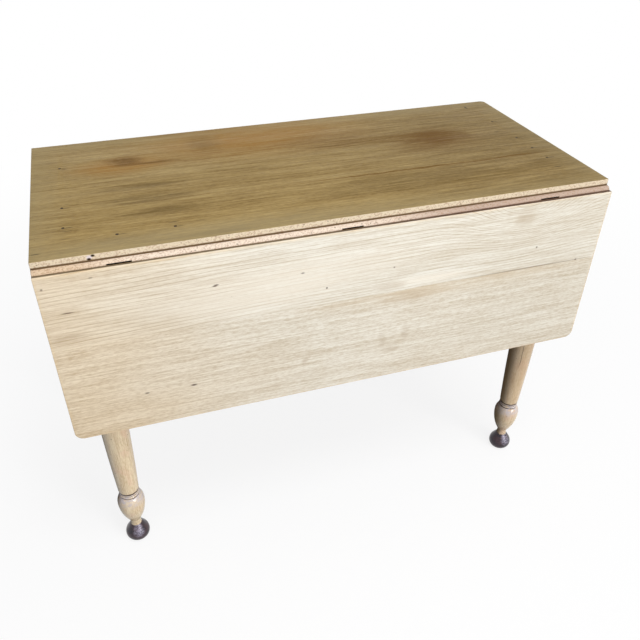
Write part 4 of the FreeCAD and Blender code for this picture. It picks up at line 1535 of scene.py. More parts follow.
@cache
def lathe_tree() -> Tree:
    """Turns a half section round an upright axis, and leaves it square where it is wider than the post.

    Returns:
        The Geometry Nodes tree.
    """
    bench, given, leave = new_nodes_tree("lathe", {
        "Segments": "Int", "Post Half Width": "Float", "Arris": "Float", "Axis Place": "Vector",
        "Wobble": "Float", "Material": "Material",
    })
    size = bench.run("GeometryNodeAttributeDomainSize", given["Geometry"])
    count = size.outputs["Point Count"]
    grid = bench.node("GeometryNodeMeshGrid", {
        "Size X": 1.0, "Size Y": 1.0, "Vertices X": bench.math("ADD", given["Segments"], 1.0),
        "Vertices Y": count})
    position = bench.node("GeometryNodeInputPosition").outputs[0]
    across, up, _ = bench.split(position)
    turn = bench.math("MULTIPLY", bench.math("ADD", across, 0.5), math.tau)
    row = bench.math("MULTIPLY", bench.math("ADD", up, 0.5), bench.math("SUBTRACT", count, 1.0))
    chosen = {"Geometry": given["Geometry"], "Index": bench.math("ROUND", row)}
    corner = bench.node("GeometryNodeSampleIndex", {**chosen, "Value": position}, data_type="FLOAT_VECTOR",
                        domain="POINT")
    radius, _, height = bench.split(corner.outputs[0])
    cosine = bench.math("COSINE", turn)
    sine = bench.math("SINE", turn)
    widest = bench.math("MAXIMUM", bench.math("ABSOLUTE", cosine), bench.math("ABSOLUTE", sine))
    square = bench.math("DIVIDE", given["Post Half Width"], widest)
    diagonal = bench.math("MULTIPLY", given["Post Half Width"], math.sqrt(2))
    blunt = bench.math("SUBTRACT", diagonal, given["Arris"])
    radius = bench.math("MINIMUM", radius, bench.math("MINIMUM", square, blunt))
    around = bench.combine(cosine, sine, bench.math("MULTIPLY", height, 9.0))
    wander = bench.node("ShaderNodeTexNoise", {"Vector": around, "Scale": 1.3, "Detail": 1.0})
    loss = bench.math("MULTIPLY", wander.outputs[0], given["Wobble"])
    radius = bench.math("MULTIPLY", radius, bench.less(loss))
    place = bench.combine(bench.math("MULTIPLY", radius, cosine), bench.math("MULTIPLY", radius, sine),
                          height)
    named = bench.node("GeometryNodeInputNamedAttribute", {"Name": "hollow"}, data_type="FLOAT")
    hollow = bench.node("GeometryNodeSampleIndex", {**chosen, "Value": named.outputs[0]}, data_type="FLOAT",
                        domain="POINT")
    keep = bench.node("GeometryNodeStoreNamedAttribute", {
        "Geometry": grid.outputs["Mesh"], "Name": "hollow", "Value": hollow.outputs[0]},
        data_type="FLOAT", domain="POINT")
    move = bench.node("GeometryNodeSetPosition", {
        "Geometry": keep.outputs[0], "Position": bench.vector("ADD", place, given["Axis Place"])})
    weld = bench.node("GeometryNodeMergeByDistance", {"Geometry": move.outputs[0], "Distance": WELD_DISTANCE})
    leave_tree(bench, weld.outputs[0], given["Material"], leave)
    return bench.tree


@cache
def driven_tree() -> Tree:
    """Sets one nail, screw or peg on every point, its head facing the point's own way.

    Returns:
        The Geometry Nodes tree.
    """
    lengths = ("Crown Radius", "Crown Height", "Head Radius", "Head Depth", "Shank Radius", "Length",
               "Slot Width", "Slot Depth")
    bench, given, leave = new_nodes_tree("driven", {
        **{key: "Float" for key in lengths}, "Sides": "Int", "Slotted": "Bool", "Seed": "Int",
        "Material": "Material",
    })

    def lifted(shape: Node, height: Plug) -> Socket:
        """A shape lifted to a height."""
        values = {"Geometry": shape.outputs["Mesh"], "Translation": bench.combine(0.0, 0.0, height)}
        return bench.node("GeometryNodeTransform", values).outputs[0]

    def stretch(low_radius: Plug, high_radius: Plug, base: Plug, tall: Plug) -> Socket:
        """One tapered stretch of the fastener, from its base upwards."""
        values = {"Radius Bottom": low_radius, "Radius Top": high_radius, "Depth": tall}
        return lifted(bench.node("GeometryNodeMeshCone", {"Vertices": given["Sides"], **values}), base)

    neck = bench.math("MULTIPLY", given["Head Depth"], -1.0)
    tip = bench.math("MULTIPLY", given["Length"], -1.0)
    run = bench.math("MULTIPLY_ADD", given["Head Depth"], -0.5, given["Length"])
    point = bench.math("MULTIPLY", given["Shank Radius"], 0.6)
    whole = bench.node("GeometryNodeMeshBoolean", operation="UNION", solver="EXACT")
    for part in (
        stretch(given["Head Radius"], given["Crown Radius"], 0.0, given["Crown Height"]),
        stretch(given["Shank Radius"], given["Head Radius"], neck, given["Head Depth"]),
        stretch(point, given["Shank Radius"], tip, run),
    ):
        bench.join(part, whole.inputs["Mesh 2"])
    wide = bench.math("MULTIPLY", given["Head Radius"], 3.0)
    tall = bench.math("MULTIPLY", given["Slot Depth"], 2.0)
    bar = bench.node("GeometryNodeMeshCube", {"Size": bench.combine(wide, given["Slot Width"], tall)})
    slotted = bench.node("GeometryNodeMeshBoolean", {
        "Mesh 1": whole.outputs["Mesh"], "Mesh 2": lifted(bar, given["Crown Height"])},
        operation="DIFFERENCE", solver="EXACT")
    choice = bench.node("GeometryNodeSwitch", {
        "Switch": given["Slotted"], "False": whole.outputs["Mesh"], "True": slotted.outputs["Mesh"]},
        input_type="GEOMETRY")
    facing = bench.node("GeometryNodeInputNamedAttribute", {"Name": "outward"}, data_type="FLOAT_VECTOR")
    facing = bench.node("FunctionNodeAlignRotationToVector", {"Vector": facing.outputs[0]}, axis="Z")
    chance = bench.node("FunctionNodeRandomValue", {"Seed": given["Seed"]}, data_type="FLOAT")
    angle = bench.math("MULTIPLY", chance.outputs[1], math.tau)
    spin = bench.node("FunctionNodeAxisAngleToRotation", {"Axis": (0.0, 0.0, 1.0), "Angle": angle})
    turned = bench.node("FunctionNodeRotateRotation", {
        "Rotation": facing.outputs[0], "Rotate By": spin.outputs[0]}, rotation_space="LOCAL")
    spread = bench.node("GeometryNodeInstanceOnPoints", {
        "Points": given["Geometry"], "Instance": choice.outputs[0], "Rotation": turned.outputs[0]})
    leave_tree(bench, spread.outputs[0], given["Material"], leave)
    return bench.tree


@dataclass(frozen=True)
class FastenerShape:
    """Sizes of one kind of nail, screw or peg, each named as its input of the nodes tree."""

    head_radius: float
    head_depth: float
    shank_radius: float
    length: float
    crown_radius: float
    crown_height: float
    sides: int = 24
    slot_width: float = 0.0
    slot_depth: float = 0.0
    seed: int = 5

    def inputs(self) -> dict[str, object]:
        """Values of the nodes tree's inputs by their names."""
        values = {key.replace("_", " ").title(): value for key, value in vars(self).items()}
        return {**values, "Slotted": self.slot_width > 0}


TOP_NAIL = FastenerShape(head_radius=0.0024, head_depth=0.0011, shank_radius=0.0014, length=0.045,
                         crown_radius=0.0018, crown_height=0.0003, sides=7, seed=8)
HINGE_SCREW = FastenerShape(head_radius=0.0034, head_depth=0.0017, shank_radius=0.0017, length=0.0135,
                            crown_radius=0.003, crown_height=0.0002, slot_width=0.0008, slot_depth=0.0007)
TENON_PEG = FastenerShape(head_radius=0.0039, head_depth=0.002, shank_radius=0.0039, length=0.034,
                          crown_radius=0.0031, crown_height=0.0006, sides=9, seed=4)


@dataclass
class Fasteners:
    """A group of like nails, screws or pegs that replaces one group node."""

    node: str
    body: str
    slot: str
    finish: Finish
    shape: FastenerShape

    def points(self) -> Mesh:
        """Mesh of one point per fastener, each with the way it faces.

        Returns:
            The mesh for the nodes tree.
        """
        places = driven_places(self.node)
        mesh = bpy.data.meshes.new(self.node)
        mesh.from_pydata([place.head for place in places], [], [])
        facing = mesh.attributes.new("outward", "FLOAT_VECTOR", "POINT")
        facing.data.foreach_set("vector", [v for place in places for v in place.outward])
        return mesh

    def dress(self) -> None:
        """Drives every fastener of the group and finishes it."""
        values = {**self.shape.inputs(), "Material": self.finish.material()}
        piece = run_nodes(f"{self.node}_driven", self.points(), driven_tree(), values)
        smooth(piece.data)
        seat(piece, self.body, self.slot, self.node)


def upright_arc(tangent: Point, other: Point, steps: int) -> list[Point]:
    """Points on an arc that is upright at one end, from that end to the other.

    Args:
        tangent: (radius, height) of the end where the arc is upright.
        other: (radius, height) of the other end.
        steps: Number of stretches between the points.

    Returns:
        The points, both ends included.
    """
    run, rise = other[0] - tangent[0], other[1] - tangent[1]
    swing = (run ** 2 + rise ** 2) / (2 * abs(run))
    sweep = math.atan2(abs(rise), swing - abs(run))
    angles = [sweep * i / steps for i in range(steps + 1)]
    return [(tangent[0] + math.copysign(swing * (1 - math.cos(angle)), run),
             tangent[1] + math.copysign(swing * math.sin(angle), rise)) for angle in angles]


@dataclass
class Turning:
    """A half section for the lathe, built from the floor upwards, with a note of its soiled hollows."""

    corners: list[Point] = field(default_factory=list)
    soil: list[float] = field(default_factory=list)

    def add(self, points: list[Point], soil: float = 0.0) -> None:
        """Adds corners (radius, height) above the last one, with a share of dirt from 0 to 1."""
        self.corners += points
        self.soil += [soil] * len(points)

    def to_upright(self, point: Point, steps: int, soil: float = 0.0) -> None:
        """Adds an arc from the last corner up to a point where it stands upright."""
        self.add(upright_arc(point, self.corners[-1], steps)[-2::-1], soil)

    def from_upright(self, point: Point, steps: int) -> None:
        """Adds an arc that leaves the last corner upright and ends at a point."""
        self.add(upright_arc(self.corners[-1], point, steps)[1:])

    def bead(self, radius: float, width: float, steps: int) -> None:
        """Adds a round bead above the last corner.

        Args:
            radius: Radius of its crest.
            width: Its height up the leg.
            steps: Number of stretches on each half.
        """
        root, level = self.corners[-1]
        self.to_upright((radius, level + width / 2), steps)
        self.from_upright((root, level + width), steps)

    def mesh(self, name: str) -> Mesh:
        """The half section as a chain of points.

        Args:
            name: Name of the mesh.

        Returns:
            The mesh for the lathe tree.
        """
        mesh = bpy.data.meshes.new(name)
        points = [(radius, 0.0, height) for radius, height in self.corners]
        mesh.from_pydata(points, [(i, i + 1) for i in range(len(points) - 1)], [])
        hollow = mesh.attributes.new("hollow", "FLOAT", "POINT")
        hollow.data.foreach_set("value", self.soil)
        return mesh


@dataclass
class Leg:
    """A turned leg with its square post, standing on a separate ball foot."""

    side: Side
    end: End
    finish: Finish
    varnish: Finish
    post_height: float = 0.127
    shoulder_round: float = 0.014
    shoulder_steps: int = 10
    post_steps: int = 4
    arris: float = 0.0014
    segments: int = 160
    wobble: float = 0.006
    sharp: float = 40.0
    foot_height: float = 0.044
    foot_base: float = 0.011
    foot_belly: Point = (0.0254, 0.0162)
    foot_shoulder: Point = (0.0232, 0.0262)
    neck_base: float = 0.0119
    neck: Point = (0.0108, 0.054)
    throat: Point = (0.0122, 0.0592)
    belly: Point = (0.028, 0.1165)
    shoulder: Point = (0.0205, 0.138)
    groove: float = 0.0176
    groove_width: float = 0.0021
    bead: float = 0.0212
    bead_width: float = 0.0044
    collar: float = 0.0205
    collar_width: float = 0.0022
    toe: float = 0.0212
    toe_rise: float = 0.006
    swell: float = 0.0276
    swell_drop: float = 0.136
    column_top: float = 0.0262
    upper_groove: float = 0.025
    upper_bead: float = 0.031
    upper_bead_width: float = 0.01
    pommel: float = 0.0315
    pommel_rise: float = 0.01
    edge: float = 0.0004

    @property
    def node(self) -> str:
        """Name of the leg's node."""
        return f"{self.side.word}_{self.end.word}_leg"

    @property
    def foot_node(self) -> str:
        """Name of the foot's node."""
        return f"{self.side.word}_{self.end.word}_ball_foot"

    def leg_section(self) -> Turning:
        """Half section of the leg: neck, vase, rings, tapered column, upper bead and square post.

        Returns:
            The section for the lathe.
        """
        low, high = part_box(self.node)
        post_base = high.z - self.post_height
        made = Turning()
        made.add([(0.0, self.foot_height), (self.neck_base, self.foot_height)], 0.6)
        made.to_upright(self.neck, 5, 0.15)
        made.from_upright(self.throat, 5)
        made.to_upright(self.belly, 22)
        made.from_upright(self.shoulder, 12)
        self._rings(made)
        self._column(made, post_base)
        self._post(made, post_base, high.z, (high.x - low.x) / 2)
        return made

    def _rings(self, made: Turning) -> None:
        """Adds the bead and the collar between soiled grooves, and the toe of the column.

        Args:
            made: Section that ends at the vase's shoulder.
        """
        radius, level = self.shoulder
        made.add([(radius - self.edge, level + self.edge / 2), (self.groove, level + self.edge)], 0.8)
        level += self.groove_width
        made.add([(self.groove, level)], 1.0)
        made.bead(self.bead, self.bead_width, 7)
        level += self.bead_width + self.groove_width
        made.add([(self.groove, level)], 1.0)
        made.add([(self.collar - self.edge, level), (self.collar, level + self.edge)])
        level += self.collar_width
        made.add([(self.collar, level - self.edge), (self.collar - self.edge, level)])
        made.add([(self.groove, level), (self.groove, level + self.groove_width)], 1.0)
        level += self.groove_width
        made.to_upright((self.toe, level + self.toe_rise), 9)

    def _column(self, made: Turning, post_base: float) -> None:
        """Adds the tapered column, the upper bead and the pommel below the post.

        Args:
            made: Section that ends at the column's toe.
            post_base: Height where the post starts.
        """
        pommel_base = post_base - self.pommel_rise
        bead_base = pommel_base - self.groove_width - self.upper_bead_width
        column_end = bead_base - self.groove_width
        made.to_upright((self.swell, column_end - self.swell_drop), 26)
        made.from_upright((self.column_top, column_end), 10)
        made.add([(self.upper_groove, column_end), (self.upper_groove, bead_base)], 1.0)
        made.bead(self.upper_bead, self.upper_bead_width, 8)
        made.add([(self.upper_groove, pommel_base)], 1.0)
        made.to_upright((self.pommel, post_base), 6)

    def _post(self, made: Turning, base: float, top: float, half_width: float) -> None:
        """Adds the post's turned shoulder and its length, out to its corners.

        Args:
            made: Section that ends at the pommel.
            base: Height where the post starts.
            top: Height of its upper end.
            half_width: Half the width of the post.
        """
        corner = half_width * math.sqrt(2)
        for i in range(1, self.shoulder_steps + 1):
            share = i / self.shoulder_steps
            radius = self.pommel + (corner - self.pommel) * math.sqrt(1 - (1 - share) ** 2)
            made.add([(radius, base + self.shoulder_round * share ** 1.2)])
        straight = base + self.shoulder_round
        for i in range(1, self.post_steps + 1):
            made.add([(corner, straight + (top - straight) * i / self.post_steps)])
        made.add([(0.0, top)])

    def foot_section(self) -> Turning:
        """Half section of the ball foot.

        Returns:
            The section for the lathe.
        """
        made = Turning()
        made.add([(0.0, 0.0), (self.foot_base, 0.0)])
        made.to_upright(self.foot_belly, 16)
        made.from_upright(self.foot_shoulder, 8)
        made.add([(self.neck_base, self.foot_height), (0.0, self.foot_height)])
        return made

    def dress(self) -> None:
        """Turns the leg and its foot and finishes both."""
        low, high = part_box(self.node)
        axis = ((low.x + high.x) / 2, (low.y + high.y) / 2, 0.0)
        shared = {"Post Half Width": (high.x - low.x) / 2, "Arris": self.arris, "Axis Place": axis,
                  "Segments": self.segments, "Wobble": self.wobble}
        for node, section, finish, slot in (
            (self.node, self.leg_section(), self.finish, "leg_wood"),
            (self.foot_node, self.foot_section(), self.varnish, "foot_varnish"),
        ):
            piece = run_nodes(f"{node}_turned", section.mesh(node), lathe_tree(),
                              {**shared, "Material": finish.material()})
            outward(piece.data)
            smooth(piece.data, self.sharp)
            seat(piece, "frame", slot, node)


@dataclass
class EasedCopy:
    """A node of the frame in its own shape, with its sharp edges eased and a finish of its own."""

    node: str
    body: str
    slot: str
    finish: Finish
    ease: float = 0.0008
    flat: float = 1.0
    sharp: float = 35.0
    shaded_sharp: float = 30.0

    def dress(self) -> None:
        """Copies the node's mesh, eases it and finishes it."""
        work = welded(frame["nodes"][self.node].data)
        flat = math.radians(self.flat)
        bmesh.ops.dissolve_limit(work, angle_limit=flat, verts=work.verts, edges=work.edges)
        edges = [e for e in work.edges if e.is_manifold and e.calc_face_angle(0.0) > math.radians(self.sharp)]
        bmesh.ops.bevel(work, geom=edges, offset=self.ease, offset_type="OFFSET", segments=2, profile=0.6,
                        affect="EDGES", clamp_overlap=True)
        mesh = close_up(work, bpy.data.meshes.new(self.node))
        mesh.materials.append(self.finish.material())
        smooth(mesh, self.shaded_sharp)
        seat(link(f"{self.node}_eased", mesh), self.body, self.slot, self.node)


def seen_rays(bench: Bench) -> Socket:
    """Mask of the rays that come straight from the camera, a reflection or a clear piece.

    Args:
        bench: Bench of the material or the sky.

    Returns:
        The mask's socket.
    """
    path = bench.node("ShaderNodeLightPath").outputs
    indirect = bench.math("MAXIMUM", path["Is Glossy Ray"], path["Is Transmission Ray"])
    return bench.math("MAXIMUM", path["Is Camera Ray"], indirect)


@dataclass(frozen=True)
class FloorFinish:
    """White floor that takes a soft shadow and stays white to the camera and in reflections."""

    name: str = "white_floor"
    bounce: Colour = (0.28, 0.28, 0.28)
    glow: float = 0.84
    near: float = 0.7
    far: float = 2.2

    def material(self) -> bpy.types.Material:
        """The floor's material.

        Returns:
            The material, which glows evenly away from the table.
        """
        coat = Coat(self.name)
        seen = seen_rays(coat)
        paper = coat.node("ShaderNodeBsdfDiffuse", {"Color": coat.mix(seen, self.bounce, WHITE)})
        light = coat.node("ShaderNodeEmission", {"Color": WHITE, "Strength": 1.0})
        fade = coat.ease(coat.vector("LENGTH", coat.place), self.near, self.far)
        glow = coat.math("MULTIPLY", seen, coat.sum((fade, 1.0 - self.glow), base=self.glow))
        blend = coat.run("ShaderNodeMixShader", glow, paper.outputs[0], light.outputs[0])
        coat.join(blend.outputs[0], coat.leave)
        return coat.material


@dataclass(frozen=True)
class Lamp:
    """A soft studio lamp, aimed at the table."""

    name: str
    place: Triple
    aim: Triple
    size: float
    watts: float
    tint: Colour

    def hang(self) -> None:
        """Puts the lamp into the scene."""
        data = bpy.data.lights.new(self.name, "AREA")
        data.shape = "DISK"
        data.size = self.size
        data.energy = self.watts
        data.color = self.tint
        made = link(self.name, data)
        made.location = self.place
        made.rotation_mode = "QUATERNION"
        made.rotation_quaternion = (Vector(self.aim) - Vector(self.place)).to_track_quat("-Z", "Y")
        LOG.info("lamp %s: %.0f W", self.name, self.watts)


@dataclass(frozen=True)
class Studio:
    """White floor, even sky and soft lamps round the table."""

    floor_half: float = 30.0
    sky_bright: Colour = (0.62, 0.63, 0.66)
    sky_dark: Colour = (0.05, 0.05, 0.06)
    sky_from: Triple = (0.55, -0.55, 0.62)
    lamps: tuple[Lamp, ...] = (
        Lamp("key", (4.0, -7.4, 2.4), (-0.1, -0.1, 0.5), 3.8, 430.0, (1.0, 0.985, 0.965)),
        Lamp("soft_box", (0.3, -1.9, 4.8), (-0.1, 0.0, 0.6), 2.0, 84.0, (1.0, 0.99, 0.975)),
    )

    def build(self) -> None:
        """Lays the floor, sets the sky and hangs the lamps."""
        reach = self.floor_half
        corners = [(-reach, -reach, 0), (reach, -reach, 0), (reach, reach, 0), (-reach, reach, 0)]
        mesh = bpy.data.meshes.new("floor")
        mesh.from_pydata(corners, [], [(0, 1, 2, 3)])
        mesh.materials.append(FloorFinish().material())
        link("floor", mesh)
        self.sky()
        for lamp in self.lamps:
            lamp.hang()

    def sky(self) -> None:
        """Sets a sky that is brighter towards the key, and white to the camera and in reflections."""
        world = bpy.data.worlds.new("studio_sky")
        bpy.context.scene.world = world
        world.use_nodes = True
        world.node_tree.nodes.clear()
        bench = Bench(world.node_tree)
        way = bench.node("ShaderNodeTexCoord").outputs["Generated"]
        facing = bench.vector("DOT_PRODUCT", way, tuple(Vector(self.sky_from).normalized()))
        tone = bench.mix(bench.ease(facing, -0.5, 0.9), self.sky_dark, self.sky_bright)
        soft = bench.node("ShaderNodeBackground", {"Color": tone})
        white = bench.node("ShaderNodeBackground", {"Color": WHITE, "Strength": 1.0})
        blend = bench.run("ShaderNodeMixShader", seen_rays(bench), soft.outputs[0], white.outputs[0])
        bench.node("ShaderNodeOutputWorld", {"Surface": blend.outputs[0]})


@dataclass(frozen=True)
class PhotoCamera:
    """The camera of the photograph, solved from the table's own corners."""

    image_pixels: float = 640.0
    focal_pixels: float = 677.48
    principal_pixel: Point = (313.51, 327.8)
    eye: Triple = (-0.38247, -1.19524, 1.26261)
    right: Triple = (0.9511, -0.3088, 0.00686)
    down: Triple = (-0.17783, -0.56561, -0.80527)
    look: Triple = (0.25255, 0.76467, -0.59287)
    sensor: float = 36.0

    def build(self) -> None:
        """Sets the camera up as the scene's own."""
        data = bpy.data.cameras.new("photo_camera")
        data.sensor_width = self.sensor
        data.lens = self.focal_pixels / self.image_pixels * self.sensor
        middle = self.image_pixels / 2
        data.shift_x = (middle - self.principal_pixel[0]) / self.image_pixels
        data.shift_y = (self.principal_pixel[1] - middle) / self.image_pixels
        axes = Matrix((self.right, [-v for v in self.down], [-v for v in self.look])).transposed()
        made = link("photo_camera", data)
        made.rotation_mode = "QUATERNION"
        made.rotation_quaternion = axes.to_quaternion()
        made.location = self.eye
        bpy.context.scene.camera = made


@dataclass
class FixedTop:
    """The two glued boards of the fixed top, with the nails that hold them to the rails."""

    places: FramePlaces
    mark_height: float = 0.5
    streak_shift: Point = (0.007, -0.001)
    streak_half: Point = (0.012, 0.0024)
    brown: Colour = srgb(108, 73, 8)
    rust: Colour = srgb(164, 116, 42)
    olive: Colour = srgb(112, 90, 48)
    black: Colour = srgb(46, 34, 24)
    lilac: Colour = srgb(222, 212, 220)
    ash: Colour = srgb(160, 146, 112)
    nail_iron: Finish = IronFinish("nail_iron_finish", scale=srgb(52, 42, 32), bright=srgb(66, 54, 40),
                                   rust=srgb(78, 56, 38))

    def mark(self, x: float, y: float, half: Point, colour: Colour, strength: float,
             core: float = 0.15) -> Mark:
        """A mark of half sizes along X and Y at a place on the top's face."""
        return Mark((x, y, self.places.top), (*half, self.mark_height), colour, strength, core)

    def marks(self) -> tuple[Mark, ...]:
        """Stains and worn patches of the top, and painted shade over its right half.

        Returns:
            The marks, lowest first.
        """
        return (
            self.mark(-0.074, 0.17, (0.36, 0.15), self.rust, 0.6, 0.1),
            # painted shade: this wide olive mark darkens the top more and more towards its right end
            self.mark(0.58, -0.06, (0.66, 0.6), self.olive, 0.56),
            self.mark(0.09, 0.105, (0.17, 0.06), self.brown, 0.4),
            self.mark(0.165, 0.075, (0.24, 0.024), self.brown, 0.42),
            self.mark(0.285, 0.042, (0.15, 0.09), self.brown, 0.78, 0.1),
            self.mark(0.295, 0.06, (0.09, 0.05), self.brown, 0.55, 0.1),
            self.mark(0.359, 0.044, (0.02, 0.03), self.brown, 0.35),
            self.mark(-0.35, 0.092, (0.13, 0.06), self.rust, 0.6),
            self.mark(-0.344, 0.113, (0.052, 0.034), self.brown, 0.95, 0.2),
            self.mark(-0.29, 0.092, (0.09, 0.01), self.brown, 0.62),
            self.mark(-0.177, 0.16, (0.05, 0.07), self.olive, 0.38),
            self.mark(-0.33, -0.012, (0.13, 0.02), self.olive, 0.62),
            self.mark(-0.32, -0.066, (0.12, 0.036), self.olive, 0.58),
            self.mark(-0.3, -0.12, (0.11, 0.024), self.olive, 0.58),
            self.mark(0.15, -0.135, (0.26, 0.046), self.olive, 0.42),
            self.mark(-0.26, -0.225, (0.56, 0.06), self.ash, 0.34),
            self.mark(0.23, -0.086, (0.38, 0.004), self.brown, 0.85, 0.4),
        )

    def scars(self, nails: tuple[Driven, ...]) -> tuple[Mark, ...]:
        """Small dark scars, and the streaks that the iron of the nails has left along the grain.

        Args:
            nails: Places of the nails.

        Returns:
            The marks, lowest first.
        """
        spots = [
            (0.4515, 0.2037, (0.0035, 0.01), 0.95), (-0.506, -0.213, (0.012, 0.0022), 0.9),
            (-0.455, 0.1055, (0.008, 0.003), 0.45), (-0.457, -0.15, (0.01, 0.0026), 0.35),
            (-0.455, -0.05, (0.006, 0.002), 0.35), (-0.448, -0.02, (0.005, 0.0018), 0.35),
            (-0.29, -0.168, (0.012, 0.0018), 0.65), (-0.46, -0.176, (0.016, 0.0022), 0.35),
            (0.4405, 0.0428, (0.01, 0.003), 0.4), (0.4577, -0.1582, (0.014, 0.0034), 0.5),
        ]
        shift_x, shift_y = self.streak_shift
        spots += [(nail.head.x + shift_x, nail.head.y + shift_y, self.streak_half, 0.45) for nail in nails]
        return tuple(self.mark(x, y, half, self.black, strength, 0.3) for x, y, half, strength in spots)

    def bruises(self) -> tuple[Mark, ...]:
        """Marks of the chip in the front board's moulded edge: a painted highlight and two dark marks.

        Returns:
            The marks, lowest first.
        """
        edge, top = -self.places.pin_out, self.places.top
        return (
            # painted highlight: a pale lilac patch on the chip
            Mark((-0.428, edge, top - 0.005), (0.006, 0.004, 0.0042), self.lilac, 0.8, 0.4),
            Mark((-0.4288, edge, top - 0.0082), (0.0045, 0.005, 0.0028), self.black, 1.0, 0.4),
            Mark((-0.4225, edge, top - 0.003), (0.0042, 0.005, 0.0028), self.black, 1.0, 0.4),
        )

    def build(self) -> None:
        """Makes both boards and the nails."""
        nails = driven_places("top_nails")
        sawings = {
            Side.FRONT: Sawing(heart=(0.0, -0.16, 0.68), ring_width=0.0075, taper=0.012, waviness=0.02),
            Side.REAR: Sawing(heart=(0.0, 0.1, 0.62), ring_width=0.0085, taper=0.016, waviness=0.026),
        }
        for side, sawing in sawings.items():
            bruises = self.bruises() if side is Side.FRONT else ()
            finish = TopFinish(f"top_{side.word}_finish", sawing, self.places, self.marks(),
                               self.scars(nails), bruises, TopBoard.ovolo_rise)
            TopBoard(self.places, side, finish, nails=nails, seed=11 + side.value).dress("frame", "top_wood")
        Fasteners("top_nails", "frame", "nail_iron", self.nail_iron, TOP_NAIL).dress()


@dataclass
class Leaf:
    """One hanging leaf: two boards, the plates of its three hinges and their screws."""

    places: FramePlaces
    side: Side
    iron: Finish
    plate_ease: float = 0.0004
    pin_ease: float = 0.0003
    mark_depth: float = 0.1
    scar: Colour = srgb(92, 70, 52)
    knot: Colour = srgb(176, 152, 120)
    feather: Colour = srgb(196, 180, 156)
    glare: Colour = srgb(248, 240, 224)
    line: Colour = srgb(120, 94, 66)
    tan: Colour = srgb(206, 184, 150)

    def mark(self, u: float, v: float, half: Point, colour: Colour, strength: float,
             core: float = 0.2) -> Mark:
        """A mark at a share of the leaf's length and drop.

        Args:
            u: Share of the length from the left end, seen from outside.
            v: Share of the drop from the upper edge.
            half: Half sizes along the leaf and up it.
            colour: Colour of the mark.
            strength: How much it covers, from 0 to 1.
            core: Share of its size that is even.

        Returns:
            The mark in place.
        """
        x = self.side.value * (1 - 2 * u) * self.places.half_length
        z = self.places.pin_height + v * (self.places.leaf_bottom - self.places.pin_height)
        place = (x, self.side.value * self.places.leaf_outer, z)
        return Mark(place, (half[0], self.mark_depth, half[1]), colour, strength, core)

    def marks(self, layer: Layer) -> tuple[Mark, ...]:
        """Pale patches of painted glare, tan bands and the figure of one board of the leaf.

        Args:
            layer: Which of the two boards.

        Returns:
            The marks, lowest first.
        """
        tan = (self.mark(0.7, 0.41, (0.46, 0.04), self.tan, 0.34),
               self.mark(0.62, 0.43, (0.1, 0.03), self.tan, 0.3))
        return (
            *(tan if layer is Layer.LOWER else ()),
            # painted glare: the next three pale patches
            self.mark(0.33, 0.28, (0.24, 0.06), self.glare, 0.4),
            self.mark(0.47, 0.2, (0.22, 0.05), self.glare, 0.3),
            self.mark(0.65, 0.363, (0.12, 0.014), self.glare, 0.6),
            self.mark(0.571, 0.37, (0.045, 0.016), self.feather, 0.5),
            self.mark(0.61, 0.46, (0.08, 0.018), self.knot, 0.25),
            self.mark(0.564, 0.723, (0.012, 0.03), self.feather, 0.4),
            self.mark(0.609, 0.703, (0.012, 0.032), self.feather, 0.4),
            self.mark(0.585, 0.8, (0.026, 0.014), self.feather, 0.4),
            self.mark(0.825, 0.085, (0.03, 0.028), self.feather, 0.55),
            self.mark(0.03, 0.353, (0.05, 0.012), self.knot, 0.4),
            self.mark(0.416, 0.766, (0.01, 0.01), self.knot, 0.45),
        )

    def scars(self) -> tuple[Mark, ...]:
        """Small dark scars, holes and the dirt in the glue joint.

        Returns:
            The marks, lowest first.
        """
        spots = (
            (0.2635, 0.191, (0.006, 0.002), 0.9), (0.2665, 0.186, (0.006, 0.002), 0.9),
            (0.038, 0.207, (0.014, 0.0018), 0.85), (0.411, 0.199, (0.005, 0.0024), 0.7),
            (0.454, 0.313, (0.0028, 0.003), 0.9), (0.577, 0.256, (0.0028, 0.0024), 0.7),
            (0.863, 0.282, (0.0028, 0.0028), 0.85), (0.958, 0.41, (0.0034, 0.0028), 0.85),
            (0.131, 0.775, (0.006, 0.0026), 0.8), (0.212, 0.782, (0.008, 0.0034), 0.9),
            (0.081, 0.039, (0.005, 0.0018), 0.6), (0.009, 0.063, (0.003, 0.0028), 0.7),
        )
        return (
            *(self.mark(u, v, half, self.scar, strength) for u, v, half, strength in spots),
            self.mark(0.86, 0.41, (0.19, 0.0022), self.line, 0.55, 0.3),
            self.mark(0.45, 0.41, (0.5, 0.0016), self.line, 0.1, 0.3),
        )

    def finish(self, layer: Layer) -> Finish:
        """Finish of one board of the leaf.

        Args:
            layer: Which of the two boards.

        Returns:
            The finish, with the figure of that board.
        """
        sign = self.side.value
        near, far = sorted((sign * self.places.leaf_inner, sign * self.places.leaf_outer))
        low = (-self.places.half_length, near, self.places.leaf_bottom)
        high = (self.places.half_length, far, self.places.pin_height)
        if layer is Layer.UPPER:
            line_weight, fleck_weight = 0.85, 0.16
            sawing = Sawing(heart=(0.0, sign * 0.2, 0.9), ring_width=0.0068, taper=0.028, waviness=0.024,
                            swirl_place=(-sign * 0.34, sign * 0.254, 0.716), swirl_reach=(0.1, 0.2, 0.068),
                            swirl_lift=-0.066, late_from=0.7)
        else:
            line_weight, fleck_weight = 0.14, 0.32
            sawing = Sawing(heart=(0.0, sign * 0.12, 0.3), ring_width=0.0046, taper=0.014, waviness=0.016,
                            swirl_place=(-sign * 0.115, sign * 0.254, 0.47), swirl_reach=(0.045, 0.2, 0.06),
                            swirl_lift=0.022)
        return LeafFinish(f"{self.side.word}_leaf_{layer.word}_finish", sawing, low, high, self.marks(layer),
                          self.scars(), line_weight, fleck_weight)

